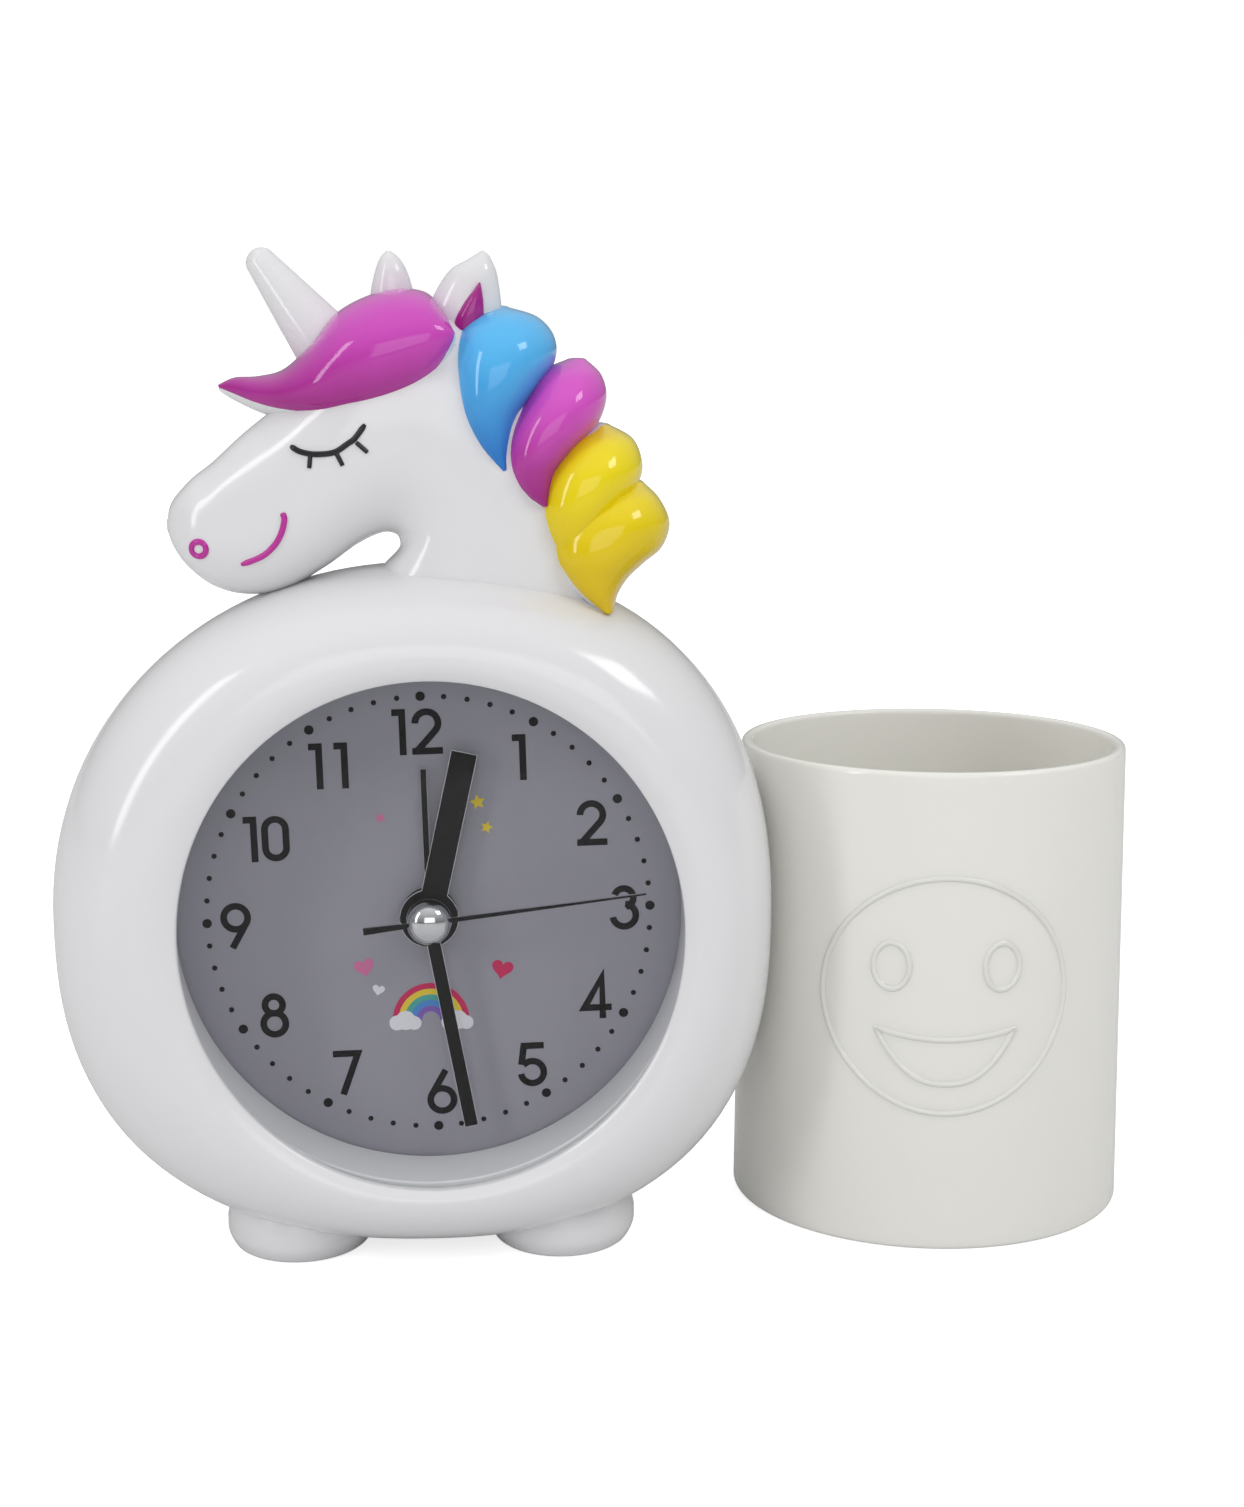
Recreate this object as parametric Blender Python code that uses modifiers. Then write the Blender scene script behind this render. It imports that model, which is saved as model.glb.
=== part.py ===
"""Pen holder clock: a quartz alarm clock in a fat ring body, with a unicorn's
head on top and a round pen cup screwed to its side.

Metres, +Z up, the dial faces -Y. The origin is the middle of the floor that
the clock stands on. Pieces on the dial axis are drawn in the dial's frame,
which is X right, Y up and Z towards the reader, and sits on an empty.
"""
import bpy
import bmesh
from math import atan2, copysign, cos, hypot, pi, radians, sin, tau
from mathutils import Matrix, Vector

# Clearances
GAP = 0.0003
RUNNING_GAP = 0.00025
PRESS_GAP = 0.00015
OVERRUN = 0.0010
MERGE_DISTANCE = 0.000001

# Clock body
DIAL_HEIGHT = 0.0550
BODY_LEFT = 0.0600
BODY_RIGHT = 0.0554
BODY_TOP = 0.0562
BODY_BOTTOM = 0.0534
UPPER_LEFT_FULLNESS = 2.10
UPPER_RIGHT_FULLNESS = 2.30
LOWER_LEFT_FULLNESS = 2.45
LOWER_RIGHT_FULLNESS = 2.50
SHELL_WALL = 0.0022
PARTING_DEPTH = 0.0050
FRONT_DEPTH = 0.0168
FRONT_FULLNESS = 2.2
FRONT_CREST_SHARE = 0.80
OPENING_DEPTH = 0.0156
OPENING_RADIUS = 0.0401
LIP_THICKNESS = 0.0012
SEAT_RADIUS = 0.0426
BACK_DEPTH = 0.0290
BACK_FULLNESS = 2.0
BACK_CREST_SHARE = 0.85
BACK_EDGE_DEPTH = 0.0278
COVER_ROOM = 0.0006
LEDGE_WIDTH = 0.0014
LEDGE_THICKNESS = 0.0016
AROUND_BODY = 30
PROFILE_STEPS = 5
INNER_STEPS = 2
ROLL_STEPS = 2

# Lens, spacer ring and dial
LENS_THICKNESS = 0.0012
RING_BORE_RADIUS = 0.0405
DIAL_THICKNESS = 0.0008
DIAL_HOLE_RADIUS = 0.0045
DIAL_TILT = radians(1.6)
AROUND_DIAL = 28

# Movement case and its battery bay
CASE_WIDTH = 0.0554
CASE_TOP = 0.0220
CASE_BOTTOM = 0.0260
CASE_WALL = 0.0012
FRONT_PLATE_THICKNESS = 0.0010
CASE_BACK = 0.0182
BAY_TOP = 0.0102
BAY_WALL = 0.0010
BUSH_RADIUS = 0.0042
BUSH_BORE_RADIUS = 0.0034
BUSH_PROUD = 0.0006
POST_RADIUS = 0.00035
POST_BORE_RADIUS = 0.00050
ARBOR_RADIUS = 0.0009
BEARING_BOSS_RADIUS = 0.0019
BEARING_BOSS_LENGTH = 0.0043
BEARING_BORE_DEPTH = 0.0030

# Battery
CELL_RADIUS = 0.0071
CELL_END_ROOM = 0.0022
NUB_RADIUS = 0.0027
NUB_LENGTH = 0.0013
CONTACT_THICKNESS = 0.0004
CONTACT_WIDTH = 0.0090
CONTACT_HEIGHT = 0.0110
CONTACT_BUMP_RADIUS = 0.0030

# Wheels: counts of teeth, modules and places
CENTRE_PINION_TEETH = 8
MOTION_WHEEL_TEETH = 24
MOTION_PINION_TEETH = 6
HOUR_WHEEL_TEETH = 24
SET_PINION_TEETH = 8
ALARM_PINION_TEETH = 6
ALARM_WHEEL_TEETH = 24
CENTRE_WHEEL_TEETH = 48
THIRD_PINION_TEETH = 6
THIRD_WHEEL_TEETH = 45
SECOND_PINION_TEETH = 6
SECOND_WHEEL_TEETH = 36
FIFTH_PINION_TEETH = 6
FIFTH_WHEEL_TEETH = 30
ROTOR_PINION_TEETH = 6
MOTION_MODULE = 0.000625
THIRD_WHEEL_MODULE = 0.00036
SECOND_WHEEL_MODULE = 0.00040
MOTION_DIRECTION = radians(180)
TIME_SET_DIRECTION = radians(120)
ALARM_SET_DIRECTION = radians(90)
THIRD_DIRECTION = radians(0)
FIFTH_DIRECTION = radians(30)
ROTOR_DIRECTION = radians(60)
FIRST_LAYER = 0.0032
LAYER_STEP = 0.0013
SET_LAYER = 0.0060
WHEEL_THICKNESS = 0.0008
ADDENDUM_SHARE = 0.70
DEDENDUM_SHARE = 1.00
BIGGEST_PINION = 12
MAGNET_RADIUS = 0.0026
MAGNET_LENGTH = 0.0026
MAGNET_FRONT = 0.0134

# Pipes of the hands, from the middle outwards
SECOND_ARBOR_RADIUS = 0.0006
PIPE_WALL = 0.0006
AROUND_PIPE = 10

# Hands, in the order in which they stack on the dial
ALARM_HAND_HEIGHT = 0.0009
HOUR_HAND_HEIGHT = 0.0023
MINUTE_HAND_HEIGHT = 0.0038
SECOND_HAND_HEIGHT = 0.0053
HAND_THICKNESS = 0.0005
ALARM_HAND_LENGTH = 0.0240
ALARM_HAND_WIDTH = 0.0010
ALARM_BOSS_RADIUS = 0.0044
HOUR_HAND_LENGTH = 0.0275
HOUR_HAND_WIDTH = 0.0042
HOUR_BOSS_RADIUS = 0.0047
MINUTE_HAND_LENGTH = 0.0348
MINUTE_HAND_WIDTH = 0.0022
MINUTE_BOSS_RADIUS = 0.0036
SECOND_HAND_LENGTH = 0.0348
SECOND_HAND_TAIL = 0.0105
SECOND_HAND_WIDTH = 0.0008
SECOND_TIP_WIDTH = 0.0003
SECOND_TAIL_WIDTH = 0.0012
SECOND_BOSS_RADIUS = 0.0026
CAP_RADIUS = 0.0035
CAP_HEIGHT = 0.0024
ALARM_HAND_ANGLE = radians(0.0)
HOUR_HAND_ANGLE = radians(14.0)
MINUTE_HAND_ANGLE = radians(171.0)
SECOND_HAND_ANGLE = radians(84.6)

# Coil, stator, board and buzzer
COIL_LENGTH = 0.0180
COIL_RADIUS = 0.0024
COIL_FLANGE_RADIUS = 0.0029
COIL_FLANGE = 0.0010
STATOR_THICKNESS = 0.0012
STATOR_WIDTH = 0.0190
STATOR_HEIGHT = 0.0092
STATOR_BORE_RADIUS = 0.0032
BOARD_WIDTH = 0.0170
BOARD_HEIGHT = 0.0085
BOARD_THICKNESS = 0.0010
CHIP_RADIUS = 0.0022
CHIP_HEIGHT = 0.0012
BUZZER_RADIUS = 0.0060
BUZZER_THICKNESS = 0.0026
BUZZER_X = 0.0140
BUZZER_Y = 0.0284
SOUND_HOLE_RADIUS = 0.0009
SOUND_RING_RADIUS = 0.0032
SOUND_HOLES = 4

# Back cover, battery door, knobs and switch
COVER_THICKNESS = 0.0018
DOOR_MARGIN = 0.0004
DOOR_PIN_RADIUS = 0.00045
DOOR_PIN_LENGTH = 0.0008
DOOR_TAB_WIDTH = 0.0100
DOOR_TAB_LENGTH = 0.0012
DOOR_NOTCH_RADIUS = 0.0040
KNOB_RADIUS = 0.0046
KNOB_LENGTH = 0.0062
KNOB_RIBS = 10
KNOB_RIB_DEPTH = 0.0004
SWITCH_X = -0.0165
SWITCH_Y = 0.0280
SWITCH_TRAVEL = 0.0050
SWITCH_PAD_WIDTH = 0.0050
SWITCH_PAD_HEIGHT = 0.0040
SWITCH_PAD_THICKNESS = 0.0018
SWITCH_NECK_WIDTH = 0.0026
SWITCH_NECK_HEIGHT = 0.0018
SWITCH_FLANGE_WIDTH = 0.0090
SWITCH_FLANGE_HEIGHT = 0.0056
SWITCH_FLANGE_THICKNESS = 0.0012
SWITCH_BODY_WIDTH = 0.0170
SWITCH_BODY_HEIGHT = 0.0070
SWITCH_BODY_THICKNESS = 0.0040

# Screws and their bosses
SCREW_SHANK_RADIUS = 0.0011
SCREW_HEAD_RADIUS = 0.0025
SCREW_HEAD_HEIGHT = 0.0016
SCREW_POINT = 0.0010
AROUND_SCREW = 6
SHELL_BOSS_RADIUS = 0.0032
SHELL_BOSS_CIRCLE = 0.0508
SHELL_SCREW_ANGLES = (radians(45), radians(135), radians(225), radians(315))
SHELL_SCREW_GRIP = 0.0042
SHELL_SCREW_LENGTH = 0.0110
REAR_BOSS_RADIUS = 0.0043
COVER_BOSS_RADIUS = 0.0034
COVER_BOSS_INSET = 0.0039
COVER_BOSS_LENGTH = 0.0080
COVER_SCREW_LENGTH = 0.0070
COVER_SCREW_ANGLES = (radians(90), radians(195), radians(345))

# Head: its outline box, from the muzzle and the body's top, and its thickness
HEAD_LENGTH = 0.0785
HEAD_OFFSET = -0.00075
HEAD_BASE = 0.0500
HEAD_HEIGHT = 0.0550
HEAD_THICKNESS = 0.0250
HEAD_FLATNESS = 2.5
LOCK_FLATNESS = 2.3
EAR_FLATNESS = 2.0
NEAR_EAR_FORWARD = 0.0035
FAR_EAR_FORWARD = -0.0035
LINING_FORWARD = 0.0068
HORN_BASE_RADIUS = 0.0054
HORN_TIP_RADIUS = 0.0024
HORN_BASE_X = -0.0140
HORN_BASE_Y = 0.0890
HORN_TIP_X = -0.0245
HORN_TIP_Y = 0.1026
NECK_PEG_RADIUS = 0.0024
NECK_PEG_LENGTH = 0.0080
NECK_PEG_DEPTH = 0.0065
NECK_PEG_XS = (-0.0010, 0.0150)
NECK_PEG_TOP = 0.0580

# Feet
FOOT_X_LEFT = -0.0217
FOOT_X_RIGHT = 0.0210
FOOT_FORWARD = -0.0030
FOOT_RADIUS = 0.0121
FOOT_LENGTH_RATIO = 1.12
FOOT_HEIGHT = 0.0135
FOOT_EDGE = 0.0012

# Pen cup
CUP_X = 0.0853
CUP_DEPTH = 0.0232
CUP_RIM_RADIUS = 0.0324
CUP_BASE_RADIUS = 0.0332
CUP_HEIGHT = 0.0788
CUP_WALL = 0.0019
CUP_FLOOR = 0.0024
RIM_ROUNDING = 0.0008
BASE_ROUNDING = 0.0010
AROUND_CUP = 28
FACE_HEIGHT = 0.0425
FACE_RADIUS = 0.0196
FACE_RIDGE_RADIUS = 0.00055
EYE_X = 0.0092
EYE_RISE = 0.0052
EYE_HALF_WIDTH = 0.0033
EYE_HALF_HEIGHT = 0.0042
MOUTH_HALF_WIDTH = 0.0115
MOUTH_DROP = 0.0056
MOUTH_UPPER_SAG = 0.0019
MOUTH_LOWER_SAG = 0.0092

# Bracket between the body and the cup
BRACKET_FRONT = 0.0222
BRACKET_BACK = 0.0290
BRACKET_LOW = 0.0330
BRACKET_HIGH = 0.0690
BRACKET_SINK = 0.0030
CUP_SCREW_DEPTH = 0.0232
CUP_SCREW_LOW = 0.0430
CUP_SCREW_HIGH = 0.0600
CUP_SCREW_LENGTH = 0.0085
CUP_BOSS_RADIUS = 0.0032

# Places that follow from the sizes
FRONT_PLATE_FRONT = DIAL_THICKNESS + GAP
FRONT_PLATE_BACK = FRONT_PLATE_FRONT + FRONT_PLATE_THICKNESS
CASE_FRONT = FRONT_PLATE_BACK + GAP
CASE_FLOOR = CASE_BACK - CASE_WALL - PRESS_GAP
BAY_FLOOR = CASE_FRONT + BAY_WALL
BAY_BOTTOM = CASE_BOTTOM - BAY_WALL
COVER_FRONT = CASE_BACK + GAP
COVER_BACK = COVER_FRONT + COVER_THICKNESS
CASE_REACH = hypot(CASE_WIDTH / 2, CASE_BOTTOM)
BUZZER_REACH = hypot(BUZZER_X, BUZZER_Y) + BUZZER_RADIUS
LEDGE_RADIUS = max(CASE_REACH, BUZZER_REACH) + COVER_ROOM
BACK_OPENING_RADIUS = LEDGE_RADIUS + LEDGE_WIDTH
COVER_BOSS_CIRCLE = BACK_OPENING_RADIUS - COVER_BOSS_INSET
COVER_RADIUS = BACK_OPENING_RADIUS - GAP
BRACKET_INNER = BACK_OPENING_RADIUS + BRACKET_SINK
KNOB_FRONT = COVER_BACK + GAP
CELL_DEPTH = BAY_FLOOR + GAP + CELL_RADIUS
CELL_Y = -(BAY_TOP + BAY_BOTTOM) / 2
CELL_LENGTH = CASE_WIDTH - 2 * (CASE_WALL + CELL_END_ROOM)
MINUTE_PIPE_BORE = SECOND_ARBOR_RADIUS + RUNNING_GAP
MINUTE_PIPE_RADIUS = MINUTE_PIPE_BORE + PIPE_WALL
HOUR_PIPE_BORE = MINUTE_PIPE_RADIUS + RUNNING_GAP
HOUR_PIPE_RADIUS = HOUR_PIPE_BORE + PIPE_WALL
ALARM_PIPE_BORE = HOUR_PIPE_RADIUS + RUNNING_GAP
ALARM_PIPE_RADIUS = ALARM_PIPE_BORE + PIPE_WALL
HOUR_LAYER = FIRST_LAYER + LAYER_STEP
MOTION_LAYER = SET_LAYER
CENTRE_LAYER = MOTION_LAYER + LAYER_STEP
THIRD_LAYER = CENTRE_LAYER + LAYER_STEP
SECOND_LAYER = THIRD_LAYER + LAYER_STEP
FIFTH_LAYER = SECOND_LAYER + LAYER_STEP
HEAD_LEFT = HEAD_LENGTH / 2 - HEAD_OFFSET
HORN_AXIS = Vector((HORN_TIP_X - HORN_BASE_X, HORN_TIP_Y - HORN_BASE_Y))
CLOCK_X = (BODY_LEFT - CUP_X - CUP_BASE_RADIUS) / 2
CLOCK_Y = (FRONT_DEPTH - CUP_DEPTH - CUP_BASE_RADIUS) / 2

# A tooth's outline: each point's offset from the tooth's middle as a share of
# the pitch, and its height above the root as a share of the tooth's height
PINION_TOOTH_shares = ((-0.24, 0.0), (-0.07, 1.0), (0.07, 1.0), (0.24, 0.0))
WHEEL_TOOTH_shares = ((0.0, 1.0), (0.5, 0.0))

# A knob's rib: each point's place along the rib's pitch, and its share of the groove's depth
KNOB_RIB_shares = ((0.0, 0.0), (0.35, 0.0), (0.65, 1.0))

# Head outlines. Each row is one rib across a form: its upper or left end and
# its lower or right end, as shares of the head's length and height, and its
# half thickness as a share of half the head's thickness.
HEAD_shares = (
    (0.000, 0.247, 0.001, 0.200, 0.21),
    (0.010, 0.295, 0.015, 0.153, 0.45),
    (0.048, 0.356, 0.042, 0.102, 0.66),
    (0.092, 0.405, 0.089, 0.051, 0.77),
    (0.153, 0.484, 0.150, 0.027, 0.83),
    (0.223, 0.564, 0.229, 0.040, 0.90),
    (0.293, 0.655, 0.312, 0.105, 0.95),
    (0.382, 0.773, 0.376, 0.169, 0.99),
    (0.484, 0.840, 0.423, 0.200, 1.00),
    (0.599, 0.818, 0.450, 0.198, 0.99),
    (0.701, 0.691, 0.460, 0.178, 0.98),
    (0.790, 0.509, 0.455, 0.149, 0.96),
    (0.854, 0.291, 0.423, 0.102, 0.94),
    (0.887, 0.073, 0.387, 0.036, 0.94),
    (0.892, -0.073, 0.382, -0.073, 0.94),
)
FORELOCK_shares = (
    (0.106, 0.620, 0.107, 0.611, 0.06),
    (0.138, 0.640, 0.135, 0.585, 0.21),
    (0.185, 0.644, 0.189, 0.549, 0.45),
    (0.236, 0.664, 0.247, 0.527, 0.75),
    (0.289, 0.731, 0.316, 0.513, 1.01),
    (0.341, 0.818, 0.387, 0.520, 1.15),
    (0.403, 0.867, 0.448, 0.542, 1.22),
    (0.466, 0.887, 0.502, 0.578, 1.22),
    (0.517, 0.878, 0.543, 0.629, 1.18),
    (0.548, 0.835, 0.568, 0.691, 1.11),
    (0.566, 0.785, 0.573, 0.749, 1.03),
)
BLUE_LOCK_shares = (
    (0.645, 0.835, 0.683, 0.835, 0.32),
    (0.599, 0.807, 0.739, 0.809, 0.75),
    (0.568, 0.760, 0.772, 0.756, 1.02),
    (0.553, 0.695, 0.775, 0.691, 1.15),
    (0.555, 0.611, 0.746, 0.615, 1.18),
    (0.572, 0.524, 0.711, 0.538, 1.14),
    (0.606, 0.444, 0.696, 0.462, 1.06),
    (0.655, 0.382, 0.685, 0.393, 0.96),
)
PINK_LOCK_shares = (
    (0.797, 0.689, 0.836, 0.689, 0.40),
    (0.732, 0.647, 0.866, 0.647, 0.83),
    (0.694, 0.573, 0.876, 0.582, 1.07),
    (0.660, 0.491, 0.857, 0.505, 1.15),
    (0.655, 0.418, 0.815, 0.436, 1.14),
    (0.670, 0.353, 0.785, 0.382, 1.07),
    (0.703, 0.304, 0.772, 0.327, 1.01),
    (0.738, 0.280, 0.763, 0.295, 0.93),
)
YELLOW_UPPER_shares = (
    (0.848, 0.504, 0.884, 0.504, 0.40),
    (0.785, 0.465, 0.930, 0.465, 0.83),
    (0.746, 0.404, 0.948, 0.396, 1.06),
    (0.724, 0.335, 0.938, 0.335, 1.12),
    (0.721, 0.269, 0.904, 0.262, 1.10),
    (0.739, 0.200, 0.866, 0.196, 1.02),
    (0.764, 0.153, 0.836, 0.153, 0.93),
)
YELLOW_LOWER_shares = (
    (0.915, 0.353, 0.953, 0.338, 0.40),
    (0.851, 0.335, 0.983, 0.295, 0.83),
    (0.787, 0.284, 1.003, 0.229, 1.06),
    (0.744, 0.218, 0.989, 0.160, 1.12),
    (0.744, 0.153, 0.953, 0.116, 1.12),
    (0.767, 0.095, 0.920, 0.073, 1.07),
    (0.805, 0.036, 0.899, 0.029, 1.02),
    (0.856, -0.018, 0.890, -0.011, 0.94),
)
NEAR_EAR_shares = (
    (0.512, 0.791, 0.673, 0.745, 0.30),
    (0.534, 0.865, 0.669, 0.818, 0.29),
    (0.566, 0.935, 0.664, 0.884, 0.24),
    (0.597, 0.971, 0.655, 0.931, 0.18),
    (0.624, 0.987, 0.642, 0.969, 0.08),
)
FAR_EAR_shares = (
    (0.403, 0.791, 0.499, 0.809, 0.22),
    (0.408, 0.876, 0.492, 0.884, 0.21),
    (0.418, 0.938, 0.479, 0.942, 0.18),
    (0.428, 0.973, 0.464, 0.975, 0.12),
    (0.439, 0.991, 0.450, 0.991, 0.05),
)
EAR_LINING_shares = (
    (0.571, 0.767, 0.632, 0.789, 0.10),
    (0.578, 0.807, 0.633, 0.822, 0.12),
    (0.596, 0.851, 0.632, 0.858, 0.11),
    (0.615, 0.885, 0.629, 0.887, 0.08),
    (0.623, 0.902, 0.627, 0.902, 0.04),
)

# A foot's outline from its top to its base, as shares of its radius and height
FOOT_shares = ((0.30, 0.99), (0.58, 0.93), (0.80, 0.80), (0.93, 0.60), (1.00, 0.34))


def collection(name):
    found = bpy.data.collections.new(name)
    bpy.context.scene.collection.children.link(found)
    return found


for old in list(bpy.data.objects):
    bpy.data.objects.remove(old, do_unlink=True)
PARTS = collection("pen_holder_clock")
CUTTERS = collection("cutters")


# Materials
def plastic(name, colour, roughness, metallic=0.0, alpha=1.0):
    made = bpy.data.materials.new(name)
    made.use_nodes = True
    shader = made.node_tree.nodes["Principled BSDF"]
    shader.inputs["Base Color"].default_value = (*colour, 1.0)
    shader.inputs["Roughness"].default_value = roughness
    shader.inputs["Metallic"].default_value = metallic
    shader.inputs["Alpha"].default_value = alpha
    made.diffuse_color = (*colour, alpha)
    return made


WHITE_ABS = plastic("white_abs", (0.86, 0.86, 0.87), 0.22)
MILK_WHITE = plastic("milk_white_polypropylene", (0.80, 0.80, 0.77), 0.35)
MAGENTA = plastic("magenta_lacquer", (0.62, 0.07, 0.42), 0.15)
SKY_BLUE = plastic("sky_blue_lacquer", (0.08, 0.42, 0.82), 0.15)
YELLOW = plastic("yellow_lacquer", (0.86, 0.70, 0.01), 0.15)
CLEAR = plastic("clear_polystyrene", (0.95, 0.97, 0.98), 0.03, alpha=0.25)
PAPER = plastic("printed_card", (0.50, 0.50, 0.56), 0.6)
BLACK_HAND = plastic("black_enamelled_aluminium", (0.02, 0.02, 0.02), 0.4)
CHROME = plastic("chromed_cap", (0.8, 0.8, 0.8), 0.08, metallic=1.0)
BLACK_ABS = plastic("black_abs", (0.03, 0.03, 0.03), 0.45)
GEAR_WHITE = plastic("natural_acetal", (0.85, 0.84, 0.78), 0.4)
STEEL = plastic("zinc_plated_steel", (0.6, 0.6, 0.62), 0.3, metallic=1.0)
BRASS = plastic("brass", (0.75, 0.55, 0.22), 0.3, metallic=1.0)
COPPER = plastic("enamelled_copper_wire", (0.65, 0.25, 0.1), 0.35, metallic=1.0)
BOARD_GREEN = plastic("green_circuit_board", (0.03, 0.22, 0.08), 0.5)
CELL_WRAP = plastic("cell_wrap", (0.10, 0.12, 0.16), 0.35)


# Frames
def frame(name, location, rotation=(0.0, 0.0, 0.0)):
    empty = bpy.data.objects.new(name, None)
    empty.empty_display_size = DIAL_HOLE_RADIUS
    empty.location = location
    empty.rotation_euler = rotation
    CUTTERS.objects.link(empty)
    return empty


DIAL_FRAME = frame("dial_frame", (CLOCK_X, CLOCK_Y, DIAL_HEIGHT), (radians(90), 0.0, 0.0))
FLOOR_FRAME = frame("floor_frame", (CLOCK_X, CLOCK_Y, 0.0))
CUP_FRAME = frame("cup_frame", (CLOCK_X + CUP_X, CLOCK_Y + CUP_DEPTH, 0.0))


# Objects, their places and their Booleans
def placed(name, mesh, parent, location=(0.0, 0.0, 0.0), rotation=(0.0, 0.0, 0.0)):
    obj = bpy.data.objects.new(name, mesh)
    obj.parent = parent
    obj.location = location
    obj.rotation_euler = rotation
    return obj


def piece(obj, material):
    """Keeps an object as one piece of the clock."""
    PARTS.objects.link(obj)
    obj.data.materials.clear()
    obj.data.materials.append(material)
    obj.data.shade_smooth()
    obj.data.set_sharp_from_angle(angle=radians(35))
    return obj


def tool(obj):
    """Keeps an object as a cutter, which is not a piece."""
    CUTTERS.objects.link(obj)
    obj.hide_render = True
    obj.display_type = "WIRE"
    return obj


def boolean(obj, operation, *others):
    """One exact Boolean with all the others at once, which rounds its points only once."""
    step = obj.modifiers.new(operation.lower(), "BOOLEAN")
    step.operation = operation
    step.solver = "EXACT"
    if len(others) == 1:
        step.object = others[0]
        return obj
    group = bpy.data.collections.new(obj.name + "_" + operation.lower())
    for other in others:
        group.objects.link(other)
    step.operand_type = "COLLECTION"
    step.collection = group
    return obj


def cut(obj, *others):
    return boolean(obj, "DIFFERENCE", *others)


def join(obj, *others):
    return boolean(obj, "UNION", *others)


# Shapes
def box_mesh(name, low, high):
    bm = bmesh.new()
    bmesh.ops.create_cube(bm, size=1.0)
    low, high = Vector(low), Vector(high)
    size = high - low
    for vert in bm.verts:
        vert.co = (low + high) / 2 + Vector([c * s for c, s in zip(vert.co, size)])
    mesh = bpy.data.meshes.new(name)
    bm.to_mesh(mesh)
    bm.free()
    return mesh


def rods_mesh(name, rods, around=8):
    """Solid rods, each given by its two ends and its radius."""
    bm = bmesh.new()
    for start, end, radius in rods:
        start, end = Vector(start), Vector(end)
        turn = (end - start).to_track_quat("Z", "Y").to_matrix().to_4x4()
        bmesh.ops.create_cone(
            bm, cap_ends=True, segments=around, radius1=radius, radius2=radius,
            depth=(end - start).length, matrix=Matrix.Translation((start + end) / 2) @ turn,
        )
    mesh = bpy.data.meshes.new(name)
    bm.to_mesh(mesh)
    bm.free()
    return mesh


def turned(name, profile, parent, location=(0.0, 0.0, 0.0), rotation=(0.0, 0.0, 0.0),
           steps=AROUND_DIAL, closed=False):
    """A turned solid about local Z from points of radius and height, top first."""
    mesh = bpy.data.meshes.new(name)
    edges = [(i, i + 1) for i in range(len(profile) - 1)]
    if closed:
        edges.append((len(profile) - 1, 0))
    mesh.from_pydata([(radius, 0.0, height) for radius, height in profile], edges, [])
    obj = placed(name, mesh, parent, location, rotation)
    screw = obj.modifiers.new("turn", "SCREW")
    screw.steps = steps
    screw.render_steps = steps
    screw.use_merge_vertices = True
    screw.merge_threshold = MERGE_DISTANCE
    return obj


def plate(name, outlines, thickness, parent, location=(0.0, 0.0, 0.0), rotation=(0.0, 0.0, 0.0)):
    """A flat piece from closed outlines, the first its edge and the rest its holes."""
    curve = bpy.data.curves.new(name, "CURVE")
    curve.dimensions = "2D"
    curve.fill_mode = "BOTH"
    curve.extrude = thickness / 2
    for outline in outlines:
        spline = curve.splines.new("POLY")
        spline.points.add(len(outline) - 1)
        spline.use_cyclic_u = True
        for point, (x, y) in zip(spline.points, outline):
            point.co = (x, y, 0.0, 1.0)
    return placed(name, welded(name, curve), parent, location, rotation)


def tube(name, points, radius, parent):
    """A closed round bead that follows the points."""
    curve = bpy.data.curves.new(name, "CURVE")
    curve.dimensions = "3D"
    curve.bevel_depth = radius
    curve.bevel_resolution = 0
    spline = curve.splines.new("POLY")
    spline.points.add(len(points) - 1)
    spline.use_cyclic_u = True
    for point, place in zip(spline.points, points):
        point.co = (*place, 1.0)
    return placed(name, welded(name, curve), parent)


def welded(name, curve):
    """The mesh of a curve, with its loose caps welded on."""
    source = bpy.data.objects.new(name + "_curve", curve)
    mesh = bpy.data.meshes.new_from_object(source)
    bpy.data.objects.remove(source, do_unlink=True)
    bm = bmesh.new()
    bm.from_mesh(mesh)
    bmesh.ops.remove_doubles(bm, verts=bm.verts, dist=MERGE_DISTANCE)
    bmesh.ops.recalc_face_normals(bm, faces=bm.faces)
    bm.to_mesh(mesh)
    bm.free()
    mesh.name = name
    return mesh


def lofted(name, rings, closed=False, grow=0.0, keep_side=None):
    """A skin over rings of points. It is capped, or joined end to end if closed.

    grow moves it outwards by a clearance, and keep_side keeps only the half in
    front of (1) or behind (-1) the plane between two halves.
    """
    bm = bmesh.new()
    rows = [[bm.verts.new(point) for point in ring] for ring in rings]
    count = len(rows[0])
    pairs = list(zip(rows, rows[1:]))
    if closed:
        pairs.append((rows[-1], rows[0]))
    for first, second in pairs:
        for k in range(count):
            after = (k + 1) % count
            bm.faces.new((first[k], first[after], second[after], second[k]))
    if not closed:
        bm.faces.new(rows[0])
        bm.faces.new(rows[-1])
    bmesh.ops.recalc_face_normals(bm, faces=bm.faces)
    if grow:
        bm.normal_update()
        moved = [(vert, vert.co + vert.normal * grow) for vert in bm.verts]
        for vert, place in moved:
            vert.co = place
    if keep_side:
        side = Vector((0.0, 0.0, keep_side))
        bmesh.ops.bisect_plane(
            bm, geom=bm.verts[:] + bm.edges[:] + bm.faces[:], dist=MERGE_DISTANCE,
            plane_co=side * GAP / 2, plane_no=side, clear_inner=True,
        )
        rim = [edge for edge in bm.edges if edge.is_boundary]
        bmesh.ops.holes_fill(bm, edges=rim)
        bmesh.ops.recalc_face_normals(bm, faces=bm.faces)
    mesh = bpy.data.meshes.new(name)
    bm.to_mesh(mesh)
    bm.free()
    return mesh


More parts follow.
